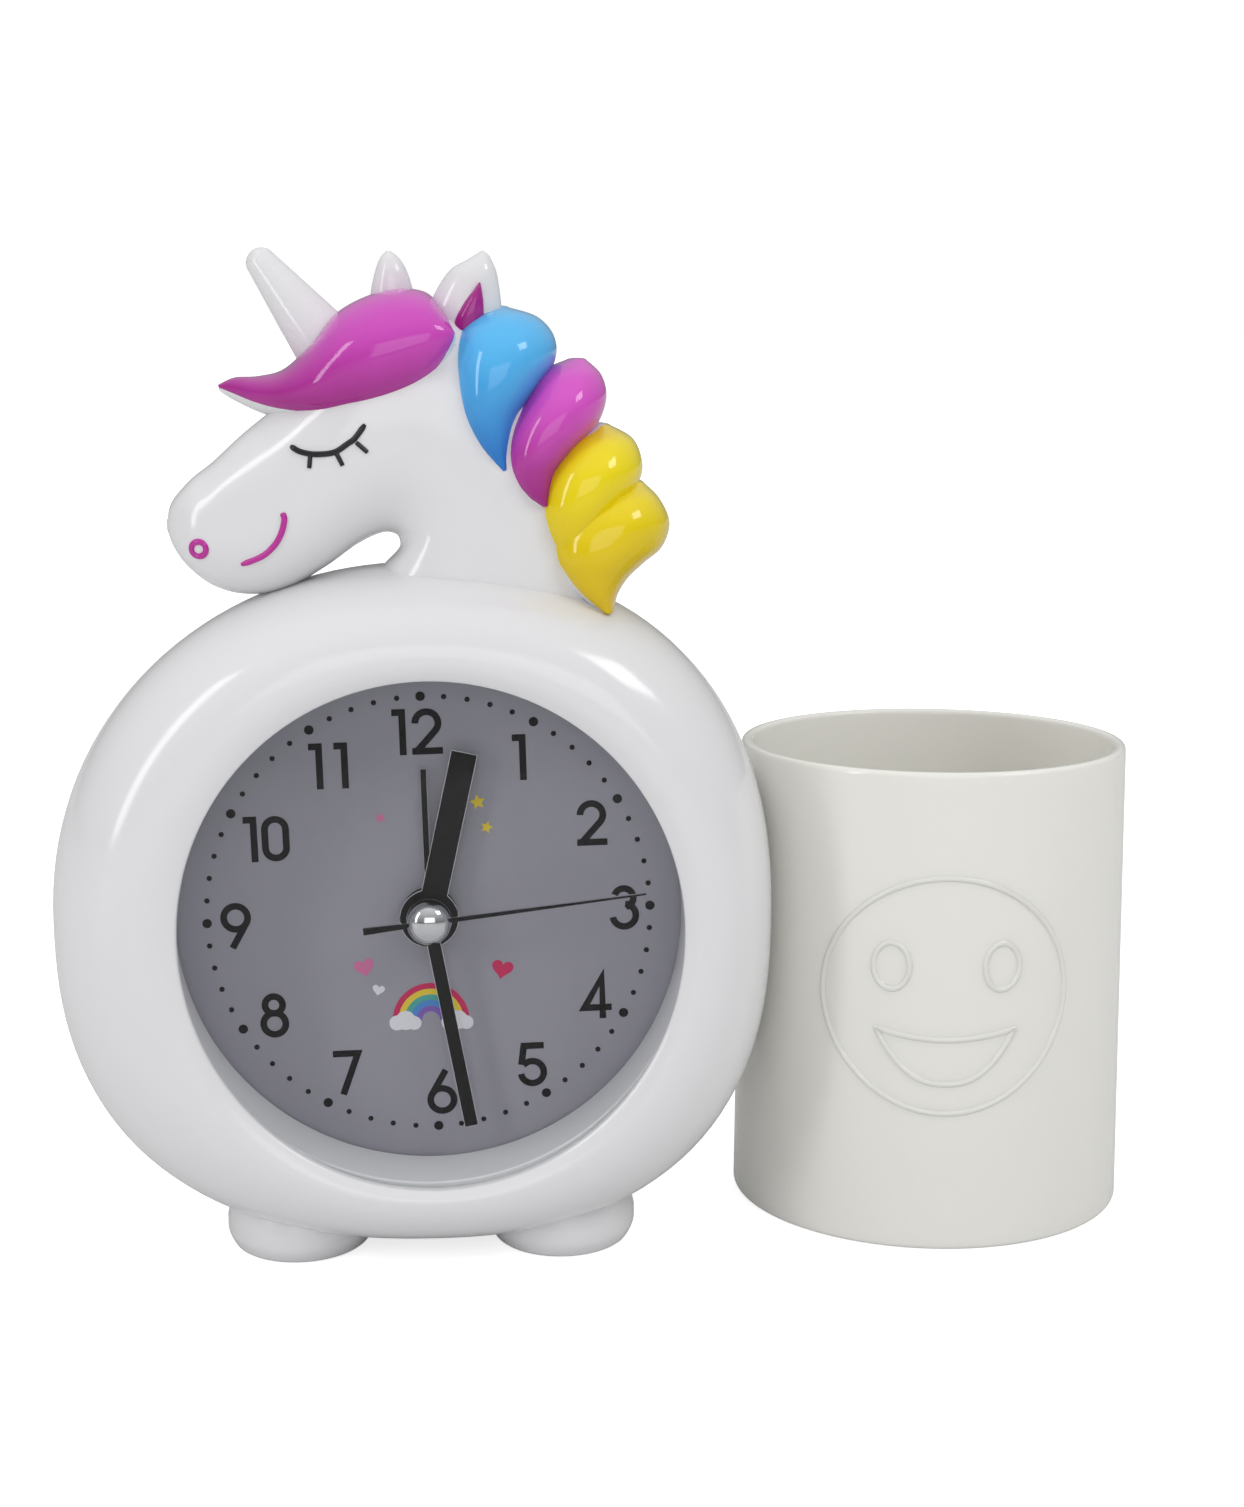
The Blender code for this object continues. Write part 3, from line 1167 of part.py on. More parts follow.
def wheels():
    alarm = pipe("alarm_wheel", ALARM_PIPE_BORE, ALARM_PIPE_RADIUS, ALARM_HAND_HEIGHT + HAND_THICKNESS,
                 FIRST_LAYER + WHEEL_THICKNESS, DIAL_AXIS)
    join(alarm, tool(wheel("alarm_teeth", ALARM_WHEEL_TEETH, HOUR_MODULE, ALARM_WHEEL_PHASE,
                           (ALARM_PIPE_BORE + ALARM_PIPE_RADIUS) / 2, DIAL_AXIS, FIRST_LAYER)))
    piece(alarm, GEAR_WHITE)

    hour = pipe("hour_wheel", HOUR_PIPE_BORE, HOUR_PIPE_RADIUS, HOUR_HAND_HEIGHT + HAND_THICKNESS,
                HOUR_LAYER + WHEEL_THICKNESS, DIAL_AXIS)
    join(hour, tool(wheel("hour_teeth", HOUR_WHEEL_TEETH, HOUR_MODULE, HOUR_WHEEL_PHASE,
                          (HOUR_PIPE_BORE + HOUR_PIPE_RADIUS) / 2, DIAL_AXIS, HOUR_LAYER)))
    piece(hour, GEAR_WHITE)

    centre = pipe("centre_wheel", MINUTE_PIPE_BORE, MINUTE_PIPE_RADIUS, MINUTE_HAND_HEIGHT + HAND_THICKNESS,
                  CENTRE_LAYER + WHEEL_THICKNESS, DIAL_AXIS)
    pipe_middle = (MINUTE_PIPE_BORE + MINUTE_PIPE_RADIUS) / 2
    join(centre,
         tool(wheel("centre_pinion", CENTRE_PINION_TEETH, MOTION_MODULE, CENTRE_PINION_PHASE, pipe_middle,
                    DIAL_AXIS, MOTION_LAYER, overlap=LAYER_STEP - WHEEL_THICKNESS / 2)),
         tool(wheel("centre_teeth", CENTRE_WHEEL_TEETH, CENTRE_WHEEL_MODULE, CENTRE_WHEEL_PHASE, pipe_middle,
                    DIAL_AXIS, CENTRE_LAYER)))
    piece(centre, GEAR_WHITE)

    motion = wheel("motion_wheel", MOTION_PINION_TEETH, HOUR_MODULE, MOTION_PINION_PHASE, POST_BORE_RADIUS,
                   MOTION_AXIS, HOUR_LAYER, overlap=LAYER_STEP - WHEEL_THICKNESS / 2)
    join(motion, tool(wheel("motion_teeth", MOTION_WHEEL_TEETH, MOTION_MODULE, MOTION_WHEEL_PHASE,
                            POST_BORE_RADIUS, MOTION_AXIS, MOTION_LAYER)))
    piece(motion, GEAR_WHITE)

    third = wheel("third_wheel", THIRD_PINION_TEETH, CENTRE_WHEEL_MODULE, THIRD_PINION_PHASE,
                  POST_BORE_RADIUS, THIRD_AXIS, CENTRE_LAYER, overlap=LAYER_STEP - WHEEL_THICKNESS / 2)
    join(third, tool(wheel("third_teeth", THIRD_WHEEL_TEETH, THIRD_WHEEL_MODULE, THIRD_WHEEL_PHASE,
                           POST_BORE_RADIUS, THIRD_AXIS, THIRD_LAYER)))
    piece(third, GEAR_WHITE)

    arbor_front = SECOND_HAND_HEIGHT + HAND_THICKNESS
    arbor_back = CASE_FLOOR - CASE_WALL
    second = turned("second_wheel", [(0.0, arbor_front), (SECOND_ARBOR_RADIUS, arbor_front),
                                     (SECOND_ARBOR_RADIUS, -arbor_back), (0.0, -arbor_back)],
                    DIAL_FRAME, steps=AROUND_PIPE)
    join(second,
         tool(wheel("second_pinion", SECOND_PINION_TEETH, THIRD_WHEEL_MODULE, SECOND_PINION_PHASE,
                    SECOND_ARBOR_RADIUS / 2, DIAL_AXIS, THIRD_LAYER,
                    overlap=LAYER_STEP - WHEEL_THICKNESS / 2)),
         tool(wheel("second_teeth", SECOND_WHEEL_TEETH, SECOND_WHEEL_MODULE, SECOND_WHEEL_PHASE,
                    SECOND_ARBOR_RADIUS / 2, DIAL_AXIS, SECOND_LAYER)))
    piece(second, GEAR_WHITE)

    fifth = wheel("fifth_wheel", FIFTH_PINION_TEETH, SECOND_WHEEL_MODULE, FIFTH_PINION_PHASE,
                  POST_BORE_RADIUS, FIFTH_AXIS, SECOND_LAYER, overlap=LAYER_STEP - WHEEL_THICKNESS / 2)
    join(fifth, tool(wheel("fifth_teeth", FIFTH_WHEEL_TEETH, SECOND_WHEEL_MODULE, FIFTH_WHEEL_PHASE,
                           POST_BORE_RADIUS, FIFTH_AXIS, FIFTH_LAYER)))
    piece(fifth, GEAR_WHITE)

    magnet_back = MAGNET_FRONT + MAGNET_LENGTH
    rotor = turned("rotor", [(MAGNET_RADIUS, -MAGNET_FRONT), (MAGNET_RADIUS, -magnet_back),
                             (POST_BORE_RADIUS, -magnet_back), (POST_BORE_RADIUS, -MAGNET_FRONT)],
                   DIAL_FRAME, at(ROTOR_AXIS), steps=AROUND_PIPE, closed=True)
    join(rotor, tool(wheel("rotor_pinion", ROTOR_PINION_TEETH, SECOND_WHEEL_MODULE, ROTOR_PINION_PHASE,
                           POST_BORE_RADIUS, ROTOR_AXIS, FIFTH_LAYER,
                           overlap=MAGNET_FRONT - FIFTH_LAYER - WHEEL_THICKNESS / 2)))
    piece(rotor, STEEL)


# Hands
def hand_outline(length, width, boss_radius, tip_width=None, tail=0.0, tail_width=0.0):
    """A baton with a round boss, pointing up, and with a tail if it has one."""
    half, tip = width / 2, (tip_width or width) / 2
    reach = boss_radius * cos(half / boss_radius)
    points = [(half, reach), (tip, length), (-tip, length), (-half, reach)]
    start = atan2(reach, -half)
    end = atan2(reach, half) + tau
    steps = 12
    if not tail:
        for k in range(1, steps):
            angle = start + (end - start) * k / steps
            points.append((boss_radius * cos(angle), boss_radius * sin(angle)))
        return points
    lower_left = 1.5 * pi - half / boss_radius
    lower_right = 1.5 * pi + half / boss_radius
    for k in range(1, steps // 2 + 1):
        angle = start + (lower_left - start) * k / (steps // 2)
        points.append((boss_radius * cos(angle), boss_radius * sin(angle)))
    points += [(-tail_width / 2, -tail), (tail_width / 2, -tail)]
    for k in range(steps // 2):
        angle = lower_right + (end - lower_right) * k / (steps // 2)
        points.append((boss_radius * cos(angle), boss_radius * sin(angle)))
    return points


def hand(name, outline, bore, height, angle, material):
    """A hand on the dial axis, turned clockwise from twelve by its angle."""
    obj = plate(name, [outline, circle_points(bore, AROUND_PIPE)], HAND_THICKNESS, DIAL_FRAME,
                (0.0, 0.0, height + HAND_THICKNESS / 2), (0.0, 0.0, DIAL_TILT - angle))
    return piece(obj, material)


def hands():
    hand("alarm_hand", hand_outline(ALARM_HAND_LENGTH, ALARM_HAND_WIDTH, ALARM_BOSS_RADIUS),
         ALARM_PIPE_RADIUS + PRESS_GAP, ALARM_HAND_HEIGHT, ALARM_HAND_ANGLE, BLACK_HAND)
    hand("hour_hand", hand_outline(HOUR_HAND_LENGTH, HOUR_HAND_WIDTH, HOUR_BOSS_RADIUS),
         HOUR_PIPE_RADIUS + PRESS_GAP, HOUR_HAND_HEIGHT, HOUR_HAND_ANGLE, BLACK_HAND)
    hand("minute_hand", hand_outline(MINUTE_HAND_LENGTH, MINUTE_HAND_WIDTH, MINUTE_BOSS_RADIUS),
         MINUTE_PIPE_RADIUS + PRESS_GAP, MINUTE_HAND_HEIGHT, MINUTE_HAND_ANGLE, BLACK_HAND)
    second = hand_outline(SECOND_HAND_LENGTH, SECOND_HAND_WIDTH, SECOND_BOSS_RADIUS, SECOND_TIP_WIDTH,
                          SECOND_HAND_TAIL, SECOND_TAIL_WIDTH)
    hand("second_hand", second, SECOND_ARBOR_RADIUS + PRESS_GAP, SECOND_HAND_HEIGHT, SECOND_HAND_ANGLE,
         BLACK_HAND)
    base = SECOND_HAND_HEIGHT + HAND_THICKNESS + GAP
    dome = [(CAP_RADIUS * sin(k / 4 * pi / 2), base + CAP_HEIGHT * cos(k / 4 * pi / 2)) for k in range(5)]
    dome[0] = (0.0, base + CAP_HEIGHT)
    piece(turned("hub_cap", dome + [(0.0, base)], DIAL_FRAME, steps=12), CHROME)


# Movement case, battery and its contacts
def movement_case():
    half = CASE_WIDTH / 2
    low, high = (-half, -CASE_BOTTOM, -FRONT_PLATE_BACK), (half, CASE_TOP, -FRONT_PLATE_FRONT)
    front = placed("movement_front_case", box_mesh("movement_front_case", low, high), DIAL_FRAME)
    bush_end = (0.0, 0.0, -FRONT_PLATE_BACK)
    bush = rods_mesh("bush", [((0.0, 0.0, BUSH_PROUD), bush_end, BUSH_RADIUS)], AROUND_PIPE)
    posts = rods_mesh("front_posts", [
        (at(THIRD_AXIS, FRONT_PLATE_FRONT + PRESS_GAP), at(THIRD_AXIS, THIRD_LAYER + LAYER_STEP),
         POST_RADIUS),
        (at(MOTION_AXIS, FRONT_PLATE_FRONT + PRESS_GAP), at(MOTION_AXIS, CENTRE_LAYER - GAP), POST_RADIUS),
    ], 8)
    bore_ends = (0.0, 0.0, BUSH_PROUD + OVERRUN), (0.0, 0.0, -FRONT_PLATE_BACK - OVERRUN)
    bore = rods_mesh("bush_bore", [(*bore_ends, BUSH_BORE_RADIUS)], AROUND_PIPE)
    join(front, tool(placed("bush", bush, DIAL_FRAME)), tool(placed("front_posts", posts, DIAL_FRAME)))
    cut(front, tool(placed("bush_bore", bore, DIAL_FRAME)))
    piece(front, BLACK_ABS)

    inner = half - CASE_WALL
    train_low = -(BAY_TOP - BAY_WALL)
    rear = placed("movement_rear_case", box_mesh(
        "movement_rear_case", (-half, -CASE_BOTTOM, -CASE_BACK), (half, CASE_TOP, -CASE_FRONT)), DIAL_FRAME)
    train_room = box_mesh("train_room", (-inner, train_low, -CASE_FLOOR),
                          (inner, CASE_TOP - CASE_WALL, -CASE_FRONT + OVERRUN))
    bay = box_mesh("battery_bay", (-inner, -BAY_BOTTOM, -CASE_BACK - OVERRUN),
                   (inner, -BAY_TOP, -BAY_FLOOR))
    boss_end = CASE_FLOOR - BEARING_BOSS_LENGTH
    boss = rods_mesh("bearing_boss", [
        (at(DIAL_AXIS, CASE_FLOOR + PRESS_GAP), at(DIAL_AXIS, boss_end), BEARING_BOSS_RADIUS)], 12)
    rear_posts = rods_mesh("rear_posts", [
        (at(FIFTH_AXIS, CASE_FLOOR + PRESS_GAP), at(FIFTH_AXIS, SECOND_LAYER - GAP), POST_RADIUS),
        (at(ROTOR_AXIS, CASE_FLOOR + PRESS_GAP), at(ROTOR_AXIS, FIFTH_LAYER - GAP), POST_RADIUS),
    ], 8)
    bores = rods_mesh("case_bores", [
        (at(DIAL_AXIS, boss_end - OVERRUN), at(DIAL_AXIS, boss_end + BEARING_BORE_DEPTH + GAP),
         MINUTE_PIPE_BORE),
        (at(TIME_SET_AXIS, CASE_FLOOR - OVERRUN), at(TIME_SET_AXIS, CASE_BACK + OVERRUN),
         ARBOR_RADIUS + RUNNING_GAP),
        (at(ALARM_SET_AXIS, CASE_FLOOR - OVERRUN), at(ALARM_SET_AXIS, CASE_BACK + OVERRUN),
         ARBOR_RADIUS + RUNNING_GAP),
    ], 12)
    cut(rear, tool(placed("train_room", train_room, DIAL_FRAME)),
        tool(placed("battery_bay", bay, DIAL_FRAME)))
    join(rear, tool(placed("bearing_boss", boss, DIAL_FRAME)),
         tool(placed("rear_posts", rear_posts, DIAL_FRAME)))
    cut(rear, tool(placed("case_bores", bores, DIAL_FRAME)))
    piece(rear, BLACK_ABS)


def battery():
    half = CELL_LENGTH / 2
    nub_end = half + NUB_LENGTH
    cell = [(0.0, nub_end), (NUB_RADIUS, nub_end), (NUB_RADIUS, half), (CELL_RADIUS, half),
            (CELL_RADIUS, -half), (0.0, -half)]
    piece(turned("battery_cell", cell, DIAL_FRAME, (-NUB_LENGTH / 2, CELL_Y, -CELL_DEPTH),
                 (0.0, radians(90), 0.0), steps=14), CELL_WRAP)
    end = half + NUB_LENGTH / 2
    wall = CASE_WIDTH / 2 - CASE_WALL
    reach = wall - GAP - CONTACT_THICKNESS
    half_width, half_height = CONTACT_WIDTH / 2, CONTACT_HEIGHT / 2
    for name, side in (("contact_positive", 1), ("contact_negative", -1)):
        near, far = sorted((side * reach, side * (wall - GAP)))
        low = (near, CELL_Y - half_width, -CELL_DEPTH - half_height)
        high = (far, CELL_Y + half_width, -CELL_DEPTH + half_height)
        leaf = placed(name, box_mesh(name, low, high), DIAL_FRAME)
        bump = rods_mesh(name + "_bump", [
            ((side * (reach + CONTACT_THICKNESS / 2), CELL_Y, -CELL_DEPTH),
             (side * (end + GAP), CELL_Y, -CELL_DEPTH), CONTACT_BUMP_RADIUS)], 10)
        piece(join(leaf, tool(placed(name + "_bump", bump, DIAL_FRAME))), STEEL)


# Coil, stator, board and buzzer
def electrics():
    stator_back = CASE_FLOOR - GAP
    stator_low = ROTOR_AXIS[1] - STATOR_HEIGHT / 2
    stator_left = ROTOR_AXIS[0] - STATOR_WIDTH * 0.42
    outline = rectangle_points(stator_left, stator_low,
                               stator_left + STATOR_WIDTH, stator_low + STATOR_HEIGHT)
    bore = circle_points(STATOR_BORE_RADIUS, AROUND_PIPE, ROTOR_AXIS)
    piece(plate("stator", [outline, bore], STATOR_THICKNESS, DIAL_FRAME,
                (0.0, 0.0, -stator_back + STATOR_THICKNESS / 2)), STEEL)

    half = COIL_LENGTH / 2
    coil = [(0.0, half), (COIL_FLANGE_RADIUS, half), (COIL_FLANGE_RADIUS, half - COIL_FLANGE),
            (COIL_RADIUS, half - COIL_FLANGE), (COIL_RADIUS, COIL_FLANGE - half),
            (COIL_FLANGE_RADIUS, COIL_FLANGE - half), (COIL_FLANGE_RADIUS, -half), (0.0, -half)]
    coil_y = CASE_TOP - CASE_WALL - GAP - COIL_FLANGE_RADIUS
    piece(turned("drive_coil", coil, DIAL_FRAME,
                 (stator_left + STATOR_WIDTH / 2, coil_y, -(CASE_FLOOR - GAP - COIL_FLANGE_RADIUS)),
                 (0.0, radians(90), 0.0), steps=10), COPPER)

    board_top = CASE_TOP - CASE_WALL - GAP
    board_left = -(CASE_WIDTH / 2 - CASE_WALL - GAP)
    board_back = -(CASE_FLOOR - GAP)
    board = placed("circuit_board", box_mesh(
        "circuit_board", (board_left, board_top - BOARD_HEIGHT, board_back),
        (board_left + BOARD_WIDTH, board_top, board_back + BOARD_THICKNESS)), DIAL_FRAME)
    chip_x, chip_y = board_left + BOARD_WIDTH / 2, board_top - BOARD_HEIGHT / 2
    chip = rods_mesh("chip", [
        ((chip_x, chip_y, board_back + PRESS_GAP),
         (chip_x, chip_y, board_back + BOARD_THICKNESS + CHIP_HEIGHT), CHIP_RADIUS)])
    piece(join(board, tool(placed("chip", chip, DIAL_FRAME))), BOARD_GREEN)

    back = -(COVER_FRONT - GAP)
    disc = [(0.0, back + BUZZER_THICKNESS), (BUZZER_RADIUS, back + BUZZER_THICKNESS), (BUZZER_RADIUS, back),
            (0.0, back)]
    piece(turned("buzzer", disc, DIAL_FRAME, (BUZZER_X, BUZZER_Y, 0.0), steps=14), BRASS)


# Back cover with its door, knobs and switch
def back_cover():
    door_half = CASE_WIDTH / 2 - CASE_WALL
    slot_half = SWITCH_NECK_WIDTH / 2 + GAP
    outlines = [
        circle_points(COVER_RADIUS, AROUND_DIAL),
        rectangle_points(-door_half, -BAY_BOTTOM, door_half, -BAY_TOP),
        rectangle_points(SWITCH_X - slot_half, SWITCH_Y - SWITCH_NECK_HEIGHT / 2 - GAP,
                         SWITCH_X + SWITCH_TRAVEL + slot_half, SWITCH_Y + SWITCH_NECK_HEIGHT / 2 + GAP),
    ]
    sound = [(BUZZER_X, BUZZER_Y)] + circle_points(SOUND_RING_RADIUS, SOUND_HOLES, (BUZZER_X, BUZZER_Y))
    outlines += [circle_points(SOUND_HOLE_RADIUS, 6, centre) for centre in sound]
    outlines += [circle_points(ARBOR_RADIUS + RUNNING_GAP, 10, axis)
                 for axis in (TIME_SET_AXIS, ALARM_SET_AXIS)]
    outlines += [circle_points(SCREW_SHANK_RADIUS + GAP, 8, on_circle(COVER_BOSS_CIRCLE, a, 0.0))
                 for a in COVER_SCREW_ANGLES]
    cover = plate("back_cover", outlines, COVER_THICKNESS, DIAL_FRAME,
                  (0.0, 0.0, -(COVER_FRONT + COVER_BACK) / 2))
    slot_width = DOOR_TAB_WIDTH / 2 + GAP
    tab_slot = box_mesh("door_tab_slot", (-slot_width, -BAY_TOP - OVERRUN, -COVER_BACK - OVERRUN),
                        (slot_width, -BAY_TOP + DOOR_TAB_LENGTH + GAP, -COVER_BACK + COVER_THICKNESS / 2))
    hinge_y, hinge_z = door_hinge()
    pins = [((side * (door_half - OVERRUN), hinge_y, hinge_z),
             (side * (door_half + DOOR_PIN_LENGTH), hinge_y, hinge_z),
             DOOR_PIN_RADIUS + RUNNING_GAP) for side in (-1, 1)]
    meshes = (tab_slot, rods_mesh("pin_holes", pins, 8))
    cut(cover, *[tool(placed(mesh.name, mesh, DIAL_FRAME)) for mesh in meshes])
    return piece(cover, WHITE_ABS)


def door_hinge():
    """The battery door's hinge line, in the middle of its rounded lower edge."""
    return (-BAY_BOTTOM + DOOR_MARGIN + COVER_THICKNESS / 2, -(COVER_FRONT + COVER_BACK) / 2)


def battery_door():
    """The door, with its origin on the hinge line."""
    hinge_y, hinge_z = door_hinge()
    half = CASE_WIDTH / 2 - CASE_WALL - DOOR_MARGIN
    top = -BAY_TOP - DOOR_MARGIN - hinge_y
    thick = COVER_THICKNESS / 2
    hinge = (0.0, hinge_y, hinge_z)
    door = placed("battery_door", box_mesh("battery_door", (-half, 0.0, -thick), (half, top, thick)),
                  DIAL_FRAME, hinge)
    edge = rods_mesh("door_edge", [((-half, 0.0, 0.0), (half, 0.0, 0.0), thick)])
    pins = rods_mesh("door_pins", [((-half - DOOR_PIN_LENGTH, 0.0, 0.0), (half + DOOR_PIN_LENGTH, 0.0, 0.0),
                                    DOOR_PIN_RADIUS)])
    tab = box_mesh("door_tab", (-DOOR_TAB_WIDTH / 2, top - OVERRUN, -thick),
                   (DOOR_TAB_WIDTH / 2, top + DOOR_TAB_LENGTH, -GAP))
    notch = rods_mesh("door_notch", [((0.0, top, -thick - DOOR_NOTCH_RADIUS * 0.8),
                                      (0.0, top - DOOR_TAB_WIDTH / 2, -thick - DOOR_NOTCH_RADIUS * 0.8),
                                      DOOR_NOTCH_RADIUS)], 14)
    join(door, *[tool(placed(mesh.name, mesh, DIAL_FRAME, hinge)) for mesh in (edge, pins, tab)])
    cut(door, tool(placed("door_notch", notch, DIAL_FRAME, hinge)))
    return piece(door, WHITE_ABS)


def ribbed_circle(radius, ribs, depth):
    points = []
    for k in range(ribs):
        for offset, share in KNOB_RIB_shares:
            angle = tau * (k + offset) / ribs
            reach = radius - share * depth
            points.append((reach * cos(angle), reach * sin(angle)))
    return points


def setting_knob(knob_name, arbor_name, axis, teeth, module, phase, layer):
    """A ribbed knob behind the cover and the arbor with the pinion that it turns."""
    rim = ribbed_circle(KNOB_RADIUS, KNOB_RIBS, KNOB_RIB_DEPTH)
    knob = plate(knob_name, [rim], KNOB_LENGTH, DIAL_FRAME, at(axis, KNOB_FRONT + KNOB_LENGTH / 2))
    socket_depth = KNOB_LENGTH / 2
    socket = rods_mesh(knob_name + "_socket", [
        (at(axis, KNOB_FRONT - OVERRUN), at(axis, KNOB_FRONT + socket_depth), ARBOR_RADIUS + PRESS_GAP)])
    piece(cut(knob, tool(placed(knob_name + "_socket", socket, DIAL_FRAME))), WHITE_ABS)
    shaft_end = KNOB_FRONT + socket_depth - GAP
    profile = [(0.0, -layer), (ARBOR_RADIUS, -layer), (ARBOR_RADIUS, -shaft_end), (0.0, -shaft_end)]
    shaft = turned(arbor_name, profile, DIAL_FRAME, at(axis), steps=8)
    teeth_ring = wheel(arbor_name + "_teeth", teeth, module, phase, ARBOR_RADIUS / 2, axis, layer)
    piece(join(shaft, tool(teeth_ring)), GEAR_WHITE)


def alarm_switch():
    """The slide that turns the alarm on, and the switch body that it moves in."""
    def block(name, width, height, front, back):
        return box_mesh(name, (-width / 2, -height / 2, -back), (width / 2, height / 2, -front))

    place = (SWITCH_X, SWITCH_Y, 0.0)
    flange_back = COVER_FRONT - GAP
    flange_front = flange_back - SWITCH_FLANGE_THICKNESS
    pad_front = COVER_BACK + GAP
    pad = block("alarm_switch", SWITCH_PAD_WIDTH, SWITCH_PAD_HEIGHT, pad_front,
                pad_front + SWITCH_PAD_THICKNESS)
    slide = placed("alarm_switch", pad, DIAL_FRAME, place)
    neck = block("switch_neck", SWITCH_NECK_WIDTH, SWITCH_NECK_HEIGHT, flange_back - PRESS_GAP,
                 COVER_BACK + GAP + PRESS_GAP)
    flange = block("switch_flange", SWITCH_FLANGE_WIDTH, SWITCH_FLANGE_HEIGHT, flange_front, flange_back)
    join(slide, tool(placed("switch_neck", neck, DIAL_FRAME, place)),
         tool(placed("switch_flange", flange, DIAL_FRAME, place)))
    piece(slide, BLACK_ABS)
    body_back = flange_front - GAP
    body = block("switch_body", SWITCH_BODY_WIDTH, SWITCH_BODY_HEIGHT,
                 body_back - SWITCH_BODY_THICKNESS, body_back)
    piece(placed("switch_body", body, DIAL_FRAME, (SWITCH_X + SWITCH_TRAVEL / 2, SWITCH_Y, 0.0)), BLACK_ABS)


def build():
    blank = body_solid("body_blank", GAP)
    core = body_solid("body_core", -SHELL_WALL / 2)
    front_shell(core)
    rear_shell(core)
    head(blank)
    hair_and_ears(blank)
    feet(blank)
    pen_cup()
    cup_bracket(blank)
    window_and_dial()
    wheels()
    hands()
    movement_case()
    battery()
    electrics()
    back_cover()
    battery_door()
    setting_knob("time_set_knob", "time_set_arbor", TIME_SET_AXIS, SET_PINION_TEETH, MOTION_MODULE,
                 SET_PINION_PHASE, SET_LAYER)
    setting_knob("alarm_set_knob", "alarm_set_arbor", ALARM_SET_AXIS, ALARM_PINION_TEETH, HOUR_MODULE,
                 ALARM_PINION_PHASE, FIRST_LAYER)
    alarm_switch()
    shell_screws()
    cover_screws()


build()
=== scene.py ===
"""Finished look of a pen holder clock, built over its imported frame.

Metres, +Z up, the dial faces -Y. Pieces on the dial axis are drawn in the
dial's frame: X right, Y up, Z towards the reader, from the dial's face.
"""

from math import atan2, copysign, cos, pi, radians, sin, tau

import bmesh
import bpy
from bpy.props import FloatProperty, FloatVectorProperty, PointerProperty
from mathutils import Matrix, Vector
from mathutils.bvhtree import BVHTree


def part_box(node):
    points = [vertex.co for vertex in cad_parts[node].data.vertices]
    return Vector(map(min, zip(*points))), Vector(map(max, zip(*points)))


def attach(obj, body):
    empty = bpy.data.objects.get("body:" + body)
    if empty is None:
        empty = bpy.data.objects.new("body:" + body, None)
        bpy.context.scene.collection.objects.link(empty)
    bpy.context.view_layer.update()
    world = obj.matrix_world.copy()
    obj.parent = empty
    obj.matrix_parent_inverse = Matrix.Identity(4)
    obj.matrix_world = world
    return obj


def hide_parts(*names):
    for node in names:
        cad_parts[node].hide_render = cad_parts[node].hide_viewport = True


bl_info = {
    "name": "Pen Holder Clock",
    "version": (1, 0, 0),
    "blender": (4, 5, 0),
    "location": "3D View > Sidebar > Clock",
    "description": "Dresses the packed frame of a pen holder clock in its finished pieces",
    "category": "Add Mesh",
}

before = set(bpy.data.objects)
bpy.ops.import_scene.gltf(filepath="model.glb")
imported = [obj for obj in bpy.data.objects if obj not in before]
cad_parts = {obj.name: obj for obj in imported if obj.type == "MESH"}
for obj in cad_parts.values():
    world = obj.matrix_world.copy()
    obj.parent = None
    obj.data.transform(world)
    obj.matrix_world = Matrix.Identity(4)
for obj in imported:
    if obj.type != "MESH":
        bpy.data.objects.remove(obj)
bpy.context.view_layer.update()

# Places read from the frame
DIAL_LOW, DIAL_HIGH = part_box("dial")
DIAL_X = (DIAL_LOW.x + DIAL_HIGH.x) / 2
DIAL_Y = DIAL_LOW.y
DIAL_Z = (DIAL_LOW.z + DIAL_HIGH.z) / 2
DIAL_PLACE = Matrix.Translation((DIAL_X, DIAL_Y, DIAL_Z)) @ Matrix.Rotation(radians(90), 4, "X")
CUP_LOW, CUP_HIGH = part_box("pen_cup")
CUP_PLACE = Matrix.Translation(((CUP_LOW.x + CUP_HIGH.x) / 2, CUP_HIGH.y - (CUP_HIGH.x - CUP_LOW.x) / 2, 0.0))
FLOOR_PLACE = Matrix.Translation((DIAL_X, DIAL_Y, 0.0))
MM = 0.001


def dial_box(node):
    """The lowest and highest corner and the middle of a node's box, in the dial's frame."""
    low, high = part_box(node)
    low, high = (Vector((low.x - DIAL_X, low.z - DIAL_Z, DIAL_Y - high.y)),
                 Vector((high.x - DIAL_X, high.z - DIAL_Z, DIAL_Y - low.y)))
    return low, high, (low + high) / 2


def dial_at(x=0.0, y=0.0, z=0.0):
    """The place of a point in the dial's frame."""
    return DIAL_PLACE @ Matrix.Translation((x, y, z))


# Clearance between two shells, the distance within which two points are one,
# and the angle from which an edge is drawn sharp
SEAM = 0.3 * MM
WELD = 0.001 * MM
SHARP = radians(35)

# A height outside every form, from which rays are cast at it
OUTSIDE = 60 * MM

# Screws and their wells. Each screw's recess is turned by its place times SCREW_TURNS.
SCREW_HEAD = 1.6 * MM
SCREW_HEAD_RADIUS = 2.4 * MM
SCREW_TURNS = 400
WELL_RADIUS = 2.9 * MM
WELL_PLAY = 0.03 * MM
WELL_WALL = 1.0 * MM
WELL_UNDER = 0.6 * MM
DRILL_LENGTH = 30 * MM

